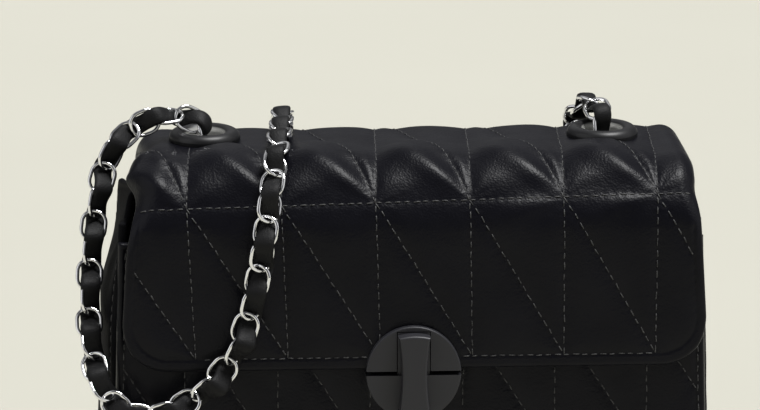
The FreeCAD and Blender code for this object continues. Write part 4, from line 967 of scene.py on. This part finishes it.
make_panel("front_skin", "front_panel", FRONT_LOW[1], FRONT_HIGH[1], FRONT_HIGH[2],
           FRONT_FIRST_LINE, mirror=False, has_lock=True)
make_panel("back_skin", "back_panel", BACK_HIGH[1], BACK_LOW[1], BACK_HIGH[2],
           BACK_FIRST_LINE, mirror=True, has_lock=False)


# Gussets and base

GUSSET_THICKNESS = 2.4
GUSSET_FOLD, FOLD_POWER = 6.0, 1.15
GUSSET_HEIGHT = GUSSET_HIGH[2] - GUSSET_LOW[2]
GUSSET_SEAM, GROOVE_DEPTH, GROOVE_WIDTH = 2.6, 0.35, 0.9
LEFT_SWELL, LEFT_EAR = 5.8, 7.0
RIGHT_SWELL, RIGHT_EAR = 3.0, 2.0
# Where the ear rises and falls, from -1 at the front to 1 at the back, and how much it falls
EAR_RISE_SHARES, EAR_FALL_SHARES, EAR_END_SHARES = (-0.7, -0.3), (0.2, 0.8), (0.9, 0.99)
EAR_FALL_SHARE = 0.3
# Where the fold and the swell lie on the way up
FOLD_SHARES, SWELL_TOP_SHARES, SWELL_FOOT_SHARES = (0.7, 1.0), (0.66, 1.0), (-0.1, 0.3)
WRINKLE_HEIGHT, WRINKLE_LENGTH, WRINKLE_STRETCH = 0.4, 17.0, 0.5
# A gusset's mesh: where the fine rows at the foot and top and the plain rows between start and end
GUSSET_COLUMNS = 110
GUSSET_FOOT_RUN, GUSSET_MIDDLE_START, GUSSET_MIDDLE_END, GUSSET_TOP_RUN = 2.0, 3.0, 2.4, 2.0
GUSSET_FOOT_ROWS, GUSSET_MIDDLE_ROWS, GUSSET_TOP_ROWS = 6, 130, 8


def make_gusset(name, node, sign, swell, ear):
    """Soft side panel: it swells below, folds inwards at the mouth and rises in an ear towards the back."""
    half = GUSSET_THICKNESS / 2
    middle_y = (GUSSET_LOW[1] + GUSSET_HIGH[1]) / 2
    half_depth = (GUSSET_HIGH[1] - GUSSET_LOW[1]) / 2

    def face(y, up):
        """Distance of the outer face from the middle of the bag, the height and the edge distance."""
        rise = up / GUSSET_HEIGHT
        across = (y - middle_y) / half_depth
        ear_share = smoothstep(across, *EAR_RISE_SHARES)
        ear_share = ear_share * (1.0 - EAR_FALL_SHARE * smoothstep(across, *EAR_FALL_SHARES))
        top = GUSSET_HEIGHT + ear * ear_share * (1.0 - smoothstep(across, *EAR_END_SHARES))
        z = GUSSET_LOW[2] + rise * top
        middle = np.clip(np.cos(math.pi / 2 * across), 0.0, 1.0)
        fold = GUSSET_FOLD * smoothstep(rise, *FOLD_SHARES)
        fold = fold * np.clip(1.0 - np.abs(across), 0.0, 1.0) ** FOLD_POWER
        bulge = swell * np.sqrt(middle) * between(rise, SWELL_FOOT_SHARES, SWELL_TOP_SHARES)
        wrinkle = WRINKLE_HEIGHT * soft_noise(y * WRINKLE_STRETCH, z, WRINKLE_LENGTH, 3.0) * middle
        edge = half_depth * (1.0 - np.abs(across))
        edge = np.minimum(edge, np.minimum(z - GUSSET_LOW[2], GUSSET_LOW[2] + top - z))
        return wall_half(z) - fold + bulge + wrinkle, z, np.maximum(edge, 0.0)

    def surface(y, up, lift):
        x, z, edge = face(y, up)
        groove = GROOVE_DEPTH * np.exp(-((edge - GUSSET_SEAM) / GROOVE_WIDTH) ** 2)
        return np.stack([sign * (x - edge_round(edge, half, half) - groove + lift), y, z], axis=-1)

    up = np.concatenate([
        np.linspace(0.0, GUSSET_FOOT_RUN, GUSSET_FOOT_ROWS),
        np.linspace(GUSSET_MIDDLE_START, GUSSET_HEIGHT - GUSSET_MIDDLE_END, GUSSET_MIDDLE_ROWS),
        np.linspace(GUSSET_HEIGHT - GUSSET_TOP_RUN, GUSSET_HEIGHT, GUSSET_TOP_ROWS),
    ])
    y, up = np.meshgrid(np.linspace(GUSSET_LOW[1], GUSSET_HIGH[1], GUSSET_COLUMNS), up)
    outer = surface(y, up, np.zeros(y.shape))
    x, z, edge = face(y, up)
    inner = np.stack([sign * (x - GUSSET_THICKNESS + edge_round(edge, half, half)), y, z], axis=-1)
    join_rims(outer, inner)
    if sign < 0:
        outer, inner = outer[:, ::-1], inner[:, ::-1]
    gusset = shell(name, outer, inner, SIDE_LEATHER, "bag_body")
    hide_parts(node)
    runs = []
    for seam_y in (GUSSET_LOW[1] + GUSSET_SEAM, GUSSET_HIGH[1] - GUSSET_SEAM):
        runs += split_run((seam_y, GUSSET_SEAM), (seam_y, GUSSET_HEIGHT - GUSSET_SEAM))
    stitch_rows(f"{name}_stitches", runs, surface, "bag_body")


make_gusset("left_gusset_skin", "left_gusset", -1.0, LEFT_SWELL, LEFT_EAR)
make_gusset("right_gusset_skin", "right_gusset", 1.0, RIGHT_SWELL, RIGHT_EAR)

BASE_RIM_RUN, BASE_RIM_ROWS, BASE_MIDDLE_INSET = 2.0, 8, 4.0
BASE_COLUMNS, BASE_ROWS = 110, 40


def base_places(low, high, count):
    """Places from one edge of the base to the other, closer together at its rims."""
    return np.concatenate([
        np.linspace(low, low + BASE_RIM_RUN, BASE_RIM_ROWS),
        np.linspace(low + BASE_MIDDLE_INSET, high - BASE_MIDDLE_INSET, count),
        np.linspace(high - BASE_RIM_RUN, high, BASE_RIM_ROWS),
    ])


def make_base():
    """Flat leather base with rounded rims that stands on the floor."""
    x, y = np.meshgrid(base_places(-BASE_HIGH[0], BASE_HIGH[0], BASE_COLUMNS),
                       base_places(BASE_LOW[1], BASE_HIGH[1], BASE_ROWS))
    edge = np.minimum(BASE_HIGH[0] - np.abs(x), np.minimum(y - BASE_LOW[1], BASE_HIGH[1] - y))
    half = BASE_HIGH[2] / 2
    rim = edge_round(edge, half, half)
    outer = np.stack([x, y, BASE_HIGH[2] - rim], axis=-1)
    inner = np.stack([x, y, rim], axis=-1)
    join_rims(outer, inner)
    base = shell("base_skin", outer, inner, LEATHER, "bag_body")
    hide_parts("base_panel")


make_base()


# Lining and strap tabs

LINING_WALL, LINING_GAP, WALL_GAP = 0.9, 0.1, 0.4
LINING_SIDE_POINTS, LINING_FRONT_POINTS, LINING_ROUNDS = 24, 60, 3
LINING_OUTER_ROWS, LINING_INNER_ROWS = 40, 70
LINING_FLOOR_SHARES = (0.01, 0.5, 0.97)
SLACK_DEPTH, SLACK_LENGTH, SLACK_STRETCH = 0.3, 21.0, 1.6


def lining_outline(z, inset):
    """Closed outline of the lining bag at a height, drawn in from the walls by an inset."""
    front, back = LINING_LOW[1] + inset, LINING_HIGH[1] - inset
    rise = (z - GUSSET_LOW[2]) / GUSSET_HEIGHT
    y = np.linspace(front, back, LINING_SIDE_POINTS)
    fold = GUSSET_FOLD * rise * np.clip(1.0 - np.abs(y) / GUSSET_HIGH[1], 0.0, 1.0)
    side = wall_half(z) - fold - GUSSET_THICKNESS - WALL_GAP - inset
    along_front = np.linspace(-side[0], side[0], LINING_FRONT_POINTS)
    along_back = np.linspace(side[-1], -side[-1], LINING_FRONT_POINTS)
    x = np.concatenate([along_front, side[1:-1], along_back, -side[-2:0:-1]])
    y = np.concatenate([np.full(LINING_FRONT_POINTS, front), y[1:-1],
                        np.full(LINING_FRONT_POINTS, back), y[-2:0:-1]])
    outline = np.stack([x, y, np.full(x.shape, z)], axis=-1)
    for _ in range(LINING_ROUNDS):
        beside = np.roll(outline, 1, axis=0) + np.roll(outline, -1, axis=0)
        outline = (beside + 2.0 * outline) / 4.0
    return outline


def make_lining():
    """Thin cloth bag inside the walls, open at the top, with soft wrinkles on its inner side."""
    floor, mouth = LINING_LOW[2] + LINING_GAP, LINING_HIGH[2]
    inset, inner_floor = LINING_GAP + LINING_WALL, floor + LINING_WALL
    rings = [lining_outline(floor, LINING_GAP) * (share, share, 1.0) for share in LINING_FLOOR_SHARES]
    rings += [lining_outline(z, LINING_GAP) for z in np.linspace(floor, mouth, LINING_OUTER_ROWS)]
    place = np.abs(np.arange(len(rings[0])) - len(rings[0]) / 2)
    for z in np.linspace(mouth, inner_floor, LINING_INNER_ROWS):
        ring = lining_outline(z, inset)
        waves = soft_noise(place * SLACK_STRETCH, np.full(place.shape, z), SLACK_LENGTH, 6.0)
        inward = 1.0 - SLACK_DEPTH * (1.0 + waves) / np.hypot(ring[:, 0], ring[:, 1])
        rings.append(np.stack([ring[:, 0] * inward, ring[:, 1] * inward, ring[:, 2]], axis=-1))
    rings += [lining_outline(inner_floor, inset) * (share, share, 1.0) for share in LINING_FLOOR_SHARES[::-1]]
    faces = tube_faces(1, len(rings), len(rings[0]))
    lining = new_object("lining_cloth_bag", np.concatenate(rings), faces, LINING_CLOTH, "bag_body")
    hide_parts("lining")


TAB_LEATHER, TAB_LOOP, TAB_FOOT_GAP = 1.4, 2.05, 0.3
TAB_TILT = math.atan2(GUSSET_FOLD + MOUTH_TAPER, GUSSET_HEIGHT)
TAB_LEG_TOP, TAB_CLOSE, TAB_JOIN = -0.2, 4.5, -5.0
TAB_LEG_STEPS, TAB_BOW_STEPS, TAB_CLOSE_STEPS = 12, 24, 10
TAB_HALF_SHARE, TAB_SECTION_POINTS, TAB_SECTION_POWER = 0.48, 12, 0.3


def make_strap_tab(name, node, joint, sign):
    """Leather strip folded round a ring's bar, its two ends laid together on the side lining."""
    low, high = box_mm(node)
    bar = np.array(JOINTS[joint]["pos_m"]) / MM
    foot = low[2] - bar[2] + TAB_FOOT_GAP
    wall_leg = [(TAB_LOOP, z) for z in np.linspace(foot, TAB_LEG_TOP, TAB_LEG_STEPS)]
    turns = np.linspace(0.0, math.pi, TAB_BOW_STEPS)
    bow = [(TAB_LOOP * math.cos(turn), TAB_LOOP * math.sin(turn)) for turn in turns]
    closing = []
    for share in np.linspace(0.0, 1.0, TAB_CLOSE_STEPS)[1:]:
        inwards = (2.0 * TAB_LOOP - TAB_LEATHER) * float(smoothstep(share, 0.0, 1.0))
        closing.append((-TAB_LOOP + inwards, -TAB_CLOSE * share))
    free_leg = [(TAB_LOOP - TAB_LEATHER, z) for z in np.linspace(TAB_JOIN, foot, TAB_LEG_STEPS)]
    line = np.array(wall_leg + bow + closing + free_leg)
    along = unit(np.gradient(line, axis=0))
    across = np.stack([along[:, 1], -along[:, 0]], axis=-1)
    wide, thick = flat_section(TAB_SECTION_POINTS, TAB_SECTION_POWER)
    wide = (high[1] - low[1]) / 2 * wide
    thick = TAB_HALF_SHARE * TAB_LEATHER * thick
    side = line[:, None, 0] + across[:, None, 0] * thick[None]
    up = line[:, None, 1] + across[:, None, 1] * thick[None]
    x = side * math.cos(TAB_TILT) - up * math.sin(TAB_TILT)
    z = side * math.sin(TAB_TILT) + up * math.cos(TAB_TILT)
    y = np.broadcast_to(wide, x.shape)
    points = np.stack([bar[0] + sign * x, bar[1] + y, bar[2] + z], axis=-1)
    faces = tube_faces(1, len(line), TAB_SECTION_POINTS)
    tab = new_object(name, points.reshape(-1, 3), faces, LEATHER, "bag_body")
    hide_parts(node)


make_lining()
make_strap_tab("left_tab_leather", "left_strap_tab", "left_ring_swing", -1.0)
make_strap_tab("right_tab_leather", "right_strap_tab", "right_ring_swing", 1.0)


# Lace and links of the strap

LINK_PITCH = 8.55
STEPS_PER_LINK = 18
ROUTE_STEPS, ROUTE_ORDER = 24, 3
LACE_WIDTH, LACE_NECK, LACE_THICKNESS, LACE_SQUEEZE = 7.3, 6.7, 2.1, 0.9
LACE_RISE, LACE_SLACK, LACE_SHIFT = 2.6, 3.4, 0.7
LACE_TURN, LACE_FACE = math.radians(9.0), math.radians(42.0)
LACE_SECTION_POINTS, LACE_SECTION_POWER = 14, 0.75
LACE_TAPER_STEPS, LACE_TIP_SHARE = 3.0, 0.05
# Shares of the strap's length between which the lace is slack, lies aside, hangs, or is wider
SLACK_SHARES = ((0.26, 0.3), (0.32, 0.345))
ASIDE_SHARES = ((0.1, 0.14), (0.36, 0.42))
HANG_SHARES = ((0.12, 0.15), (0.27, 0.3))
WIDE_SHARES = ((0.09, 0.13), (0.37, 0.41))
# How far the strap has to face sideways for the lace to lie aside
FACING_SHARES = (0.2, 0.7)

# The strap's route in metres, from the left anchor ring over the flap and down the back to the right ring
STRAP_ROUTE = [
    (-0.0847, 0.0004, 0.1064), (-0.0818, 0.0000, 0.1128), (-0.0784, 0.0008, 0.1186),
    (-0.0742, 0.0026, 0.1236), (-0.0706, 0.0044, 0.1288), (-0.0690, 0.0050, 0.1346),
    (-0.0692, 0.0050, 0.1410), (-0.0728, 0.0047, 0.1466), (-0.0802, 0.0034, 0.1478),
    (-0.0876, 0.0010, 0.1466), (-0.0948, -0.0010, 0.1440), (-0.1000, -0.0030, 0.1394),
    (-0.1034, -0.0050, 0.1332), (-0.1058, -0.0070, 0.1265), (-0.1074, -0.0090, 0.1190),
    (-0.1084, -0.0110, 0.1117), (-0.1094, -0.0135, 0.1045), (-0.1100, -0.0160, 0.0973),
    (-0.1104, -0.0190, 0.0895), (-0.1105, -0.0230, 0.0818), (-0.1102, -0.0280, 0.0750),
    (-0.1092, -0.0336, 0.0688), (-0.1076, -0.0390, 0.0632), (-0.1049, -0.0430, 0.0579),
    (-0.1002, -0.0446, 0.0533), (-0.0935, -0.0450, 0.0512), (-0.0867, -0.0450, 0.0518),
    (-0.0805, -0.0450, 0.0543), (-0.0745, -0.0450, 0.0582), (-0.0686, -0.0450, 0.0630),
    (-0.0636, -0.0450, 0.0686), (-0.0600, -0.0450, 0.0752), (-0.0572, -0.0450, 0.0824),
    (-0.0551, -0.0450, 0.0900), (-0.0532, -0.0450, 0.0983), (-0.0517, -0.0450, 0.1069),
    (-0.0503, -0.0448, 0.1156), (-0.0488, -0.0424, 0.1252), (-0.0472, -0.0364, 0.1338),
    (-0.0458, -0.0270, 0.1396), (-0.0446, -0.0150, 0.1412), (-0.0434, -0.0010, 0.1422),
    (-0.0422, 0.0130, 0.1434), (-0.0416, 0.0254, 0.1436), (-0.0412, 0.0350, 0.1382),
    (-0.0410, 0.0392, 0.1292), (-0.0412, 0.0395, 0.1180), (-0.0416, 0.0395, 0.1060),
    (-0.0416, 0.0395, 0.0920), (-0.0396, 0.0395, 0.0770), (-0.0346, 0.0395, 0.0610),
    (-0.0254, 0.0395, 0.0466), (-0.0116, 0.0395, 0.0374), (0.0050, 0.0395, 0.0344),
    (0.0216, 0.0395, 0.0374), (0.0360, 0.0395, 0.0466), (0.0464, 0.0395, 0.0610),
    (0.0528, 0.0395, 0.0770), (0.0566, 0.0395, 0.0920), (0.0588, 0.0395, 0.1060),
    (0.0602, 0.0395, 0.1180), (0.0614, 0.0388, 0.1294), (0.0628, 0.0350, 0.1386),
    (0.0644, 0.0284, 0.1444), (0.0662, 0.0200, 0.1478), (0.0678, 0.0122, 0.1488),
    (0.0692, 0.0066, 0.1460), (0.0696, 0.0050, 0.1404), (0.0696, 0.0049, 0.1336),
    (0.0716, 0.0040, 0.1274), (0.0754, 0.0026, 0.1218), (0.0792, 0.0014, 0.1164),
    (0.0823, 0.0006, 0.1116), (0.0845, 0.0003, 0.1070),
]

# How far the strap is twisted about its own line, in degrees, at shares of its length
TWIST_SHARES = [
    (0.0, 5.0), (0.0617, 52.0), (0.1358, -8.0), (0.2, -8.0),
    (0.321, 72.0), (0.358, 42.0), (0.86, 42.0), (1.0, 80.0),
]


def strap_line():
    """Points along the strap's spline, evenly and closely spaced, in millimetres."""
    curve = bpy.data.curves.new("strap_route", "CURVE")
    curve.dimensions = "3D"
    spline = curve.splines.new("NURBS")
    spline.points.add(len(STRAP_ROUTE) - 1)
    for point, spot in zip(spline.points, STRAP_ROUTE):
        point.co = (*spot, 1.0)
    spline.order_u = ROUTE_ORDER
    spline.use_endpoint_u = True
    curve.resolution_u = ROUTE_STEPS
    guide = bpy.data.objects.new("strap_route", curve)
    mesh = bpy.data.meshes.new_from_object(guide)
    points = np.array([vertex.co for vertex in mesh.vertices], float) / MM
    bpy.data.objects.remove(guide)
    bpy.data.meshes.remove(mesh)
    far = path_distances(points)
    marks = np.linspace(0.0, far[-1], round(far[-1] / LINK_PITCH) * STEPS_PER_LINK + 1)
    return path_points(points, far, marks)


def strap_frames(line):
    """Directions out of and across the strap at each of its points."""
    along = unit(np.gradient(line, axis=0))
    outward = np.zeros(line.shape)
    carried = np.array([0.0, -1.0, 0.0])
    for index, direction in enumerate(along):
        carried = unit(carried - direction * carried.dot(direction))
        outward[index] = carried
    shares, twists = np.array(TWIST_SHARES).T
    twist = np.radians(np.interp(np.linspace(0.0, 1.0, len(line)), shares, twists))[:, None]
    outward = outward * np.cos(twist) + np.cross(along, outward) * np.sin(twist)
    return outward, np.cross(along, outward)


STRAP_LINE = strap_line()
STRAP_OUT, STRAP_SIDE = strap_frames(STRAP_LINE)
LINK_COUNT = (len(STRAP_LINE) - 1) // STEPS_PER_LINK


def make_lace(name, first_link, last_link):
    """Flat padded lace woven over and under alternate joints, between the middles of two links."""
    first = int((first_link + 0.5) * STEPS_PER_LINK)
    last = int((last_link + 0.5) * STEPS_PER_LINK)
    index = np.arange(first, last + 1)
    phase = math.pi * index / STEPS_PER_LINK
    out, side = STRAP_OUT[index], STRAP_SIDE[index]
    share = index / (len(STRAP_LINE) - 1)
    slack = LACE_SLACK * between(share, *SLACK_SHARES) * np.maximum(-np.cos(phase), 0.0)
    lift = -LACE_RISE * np.cos(phase) + slack
    rightwards = np.sign(side[:, 0]) * smoothstep(np.abs(side[:, 0]), *FACING_SHARES)
    aside = LACE_SHIFT * between(share, *ASIDE_SHARES) * rightwards
    turn = np.clip(np.arctan(side[:, 1] / out[:, 1]), -LACE_FACE, LACE_FACE) * between(share, *HANG_SHARES)
    rise = out * np.cos(turn)[:, None] + side * np.sin(turn)[:, None]
    centre = STRAP_LINE[index] + rise * (lift / np.cos(turn))[:, None] + side * aside[:, None]
    along = unit(np.gradient(centre, axis=0))
    twist = -LACE_TURN * np.sin(phase) - turn / 2
    wide = side * np.cos(twist)[:, None] + out * np.sin(twist)[:, None]
    wide = unit(wide - along * np.sum(wide * along, axis=1, keepdims=True))
    thick = np.cross(along, wide)
    squeezed = 1.0 - smoothstep(share, *WIDE_SHARES[0]) + smoothstep(share, *WIDE_SHARES[1])
    width = LACE_NECK + (LACE_WIDTH - LACE_NECK) * np.cos(phase) ** 2 - LACE_SQUEEZE * squeezed
    ends = np.minimum(np.arange(len(index)), np.arange(len(index))[::-1])
    taper = np.sqrt(np.clip(ends / LACE_TAPER_STEPS + LACE_TIP_SHARE, 0.0, 1.0))
    across, through = flat_section(LACE_SECTION_POINTS, LACE_SECTION_POWER)
    rings = (centre[:, None] + wide[:, None] * (across[None] * (width * taper)[:, None] / 2)[..., None]
             + thick[:, None] * (through[None] * taper[:, None] * LACE_THICKNESS / 2)[..., None])
    faces = tube_faces(1, len(index), LACE_SECTION_POINTS)
    lace = new_object(name, rings.reshape(-1, 3), faces, LACE_LEATHER, None)
    path = centre * MM
    return lace, path, float(path_distances(path)[-1])


def copied_links(name, node):
    """Links of a node that change shape at a joint, copied from its solid."""
    links = place_mesh(name, NODES[node].data.copy())
    dress(links.data, CHROME)
    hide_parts(node)
    return links


def whole_link(vertex):
    """All the vertices of the link that a vertex belongs to."""
    found, ahead = {vertex}, [vertex]
    while ahead:
        for edge in ahead.pop().link_edges:
            fresh = [end for end in edge.verts if end not in found]
            found.update(fresh)
            ahead.extend(fresh)
    return found


def keep_links(links, wanted):
    """Keeps the links of a piece that wanted() picks, given each link's lowest vertex."""
    form = bmesh.new()
    form.from_mesh(links.data)
    bmesh.ops.remove_doubles(form, verts=form.verts, dist=WELD_GAP)
    waiting, others = set(form.verts), []
    while waiting:
        link = whole_link(next(iter(waiting)))
        waiting -= link
        if not wanted(min(link, key=lambda vertex: vertex.co.z).co):
            others.extend(link)
    bmesh.ops.delete(form, geom=others, context="VERTS")
    form.to_mesh(links.data)
    form.free()


WELD_GAP = 0.001 * MM
# Links of the strap that lie inside the bag at each end, and those that carry no lace
INNER_LINKS, LEFT_BARE_LINKS, RIGHT_BARE_LINKS = 4, 1, 2
# The end links hang in the anchor rings, whose tops lie at this height
RING_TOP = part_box("left_d_ring")[1][2]


def make_strap():
    edge_links = copied_links("edge_links", "strap_links_over_edge")
    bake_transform(edge_links)
    for name, ring, side in (("left_end_link", "left_ring", -1.0), ("right_end_link", "right_ring", 1.0)):
        end_link = copied_links(name, "strap_links_inner")
        keep_links(end_link, lambda low, side=side: low.z < RING_TOP and low.x * side > 0.0)
        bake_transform(end_link)
    inner_links = copied_links("inner_links", "strap_links_inner")
    keep_links(inner_links, lambda low: low.z >= RING_TOP)
    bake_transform(inner_links)
    lace, path, length = make_lace("strap_lace", INNER_LINKS, LINK_COUNT - INNER_LINKS)
    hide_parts("lace_on_flap", "lace_over_edge", "lace_rear")
    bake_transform(lace)
    left_lace = make_lace("left_inner_lace", LEFT_BARE_LINKS, INNER_LINKS)[0]
    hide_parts("lace_inner")
    right_lace = make_lace("right_inner_lace", LINK_COUNT - INNER_LINKS, LINK_COUNT - RIGHT_BARE_LINKS)[0]
    for inner_lace in (left_lace, right_lace):
        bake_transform(inner_lace)


make_strap()


# Finishes of the solids that stay

FINISHES = (
    (BOARD, "base_board"),
    (CHROME, "left_d_ring", "right_d_ring", "strap_links_on_flap", "strap_links_rear"),
    (EYELET_COAT_AND_PAINTED_LIGHT, "left_eyelet", "right_eyelet"),
    (BLACK_METAL, "left_eyelet_washer", "right_eyelet_washer"),
    (LOCK_METAL, "lock_upper_plate", "lock_lower_plate", "turn_bar"),
    (PLAIN_STEEL, "lock_backing_plate", "lock_screws", "lock_rivets", "turn_bar_clip"),
)
for node_material, *node_names in FINISHES:
    for node_name in node_names:
        dress(NODES[node_name].data, node_material)


# Stage, light and camera, in metres

FLOOR_RADIUS, FLOOR_SIDES = 6.0, 96
LIGHT_TARGET = Vector((0.0, 0.0, 0.1))
# Each light's name, place, energy and angular size in degrees
LIGHTS = (
    ("key", (0.4, -0.12, 1.4), 4.4, 26.0),
    ("rim", (-0.2, 1.1, 1.2), 0.2, 55.0),
    ("left_panel", (-1.0, -0.35, 0.6), 0.6, 60.0),
    ("right_panel", (1.0, -0.25, 0.6), 0.5, 60.0),
)
SKY_COLOUR, SKY_STRENGTH = (0.96, 0.97, 1.0, 1.0), 0.15
CAMERA_TARGET = Vector((-0.0087, 0.0, 0.1153))
CAMERA_AZIMUTH = math.radians(-3.8)
CAMERA_ELEVATION = math.radians(11.0)
CAMERA_DISTANCE, CAMERA_FIELD = 1.5, 0.265
SENSOR_WIDTH = 36.0
CLIP_NEAR, CLIP_FAR = 0.05, 50.0


def make_floor():
    """Wide round pale floor."""
    angle = np.arange(FLOOR_SIDES) * 2.0 * math.pi / FLOOR_SIDES
    points = [(0.0, 0.0, 0.0)]
    points += [(FLOOR_RADIUS * math.cos(turn), FLOOR_RADIUS * math.sin(turn), 0.0) for turn in angle]
    faces = [(0, 1 + side, 1 + (side + 1) % FLOOR_SIDES) for side in range(FLOOR_SIDES)]
    mesh = bpy.data.meshes.new("floor")
    mesh.from_pydata(points, [], faces)
    mesh.materials.append(floor_material())
    place_mesh("floor", mesh)


def make_lights():
    """Soft suns, and a dim sky."""
    for name, place, energy, size in LIGHTS:
        data = bpy.data.lights.new(name, "SUN")
        data.energy = energy
        data.angle = math.radians(size)
        light = bpy.data.objects.new(name, data)
        light.location = place
        light.rotation_euler = (LIGHT_TARGET - light.location).to_track_quat("-Z", "Y").to_euler()
        SCENE.collection.objects.link(light)
    world = bpy.data.worlds.new("studio")
    world.use_nodes = True
    sky = world.node_tree.nodes["Background"]
    sky.inputs["Color"].default_value = SKY_COLOUR
    sky.inputs["Strength"].default_value = SKY_STRENGTH
    SCENE.world = world
    SCENE.view_settings.view_transform = "Standard"


def make_camera():
    data = bpy.data.cameras.new("camera")
    data.sensor_width = SENSOR_WIDTH
    data.lens = SENSOR_WIDTH * CAMERA_DISTANCE / CAMERA_FIELD
    data.clip_start = CLIP_NEAR
    data.clip_end = CLIP_FAR
    camera = bpy.data.objects.new("camera", data)
    level = math.cos(CAMERA_ELEVATION)
    back = Vector((math.sin(CAMERA_AZIMUTH) * level, -math.cos(CAMERA_AZIMUTH) * level,
                   math.sin(CAMERA_ELEVATION)))
    camera.location = CAMERA_TARGET + back * CAMERA_DISTANCE
    camera.rotation_euler = (-back).to_track_quat("-Z", "Y").to_euler()
    SCENE.collection.objects.link(camera)
    SCENE.camera = camera


make_floor()
make_lights()
make_camera()
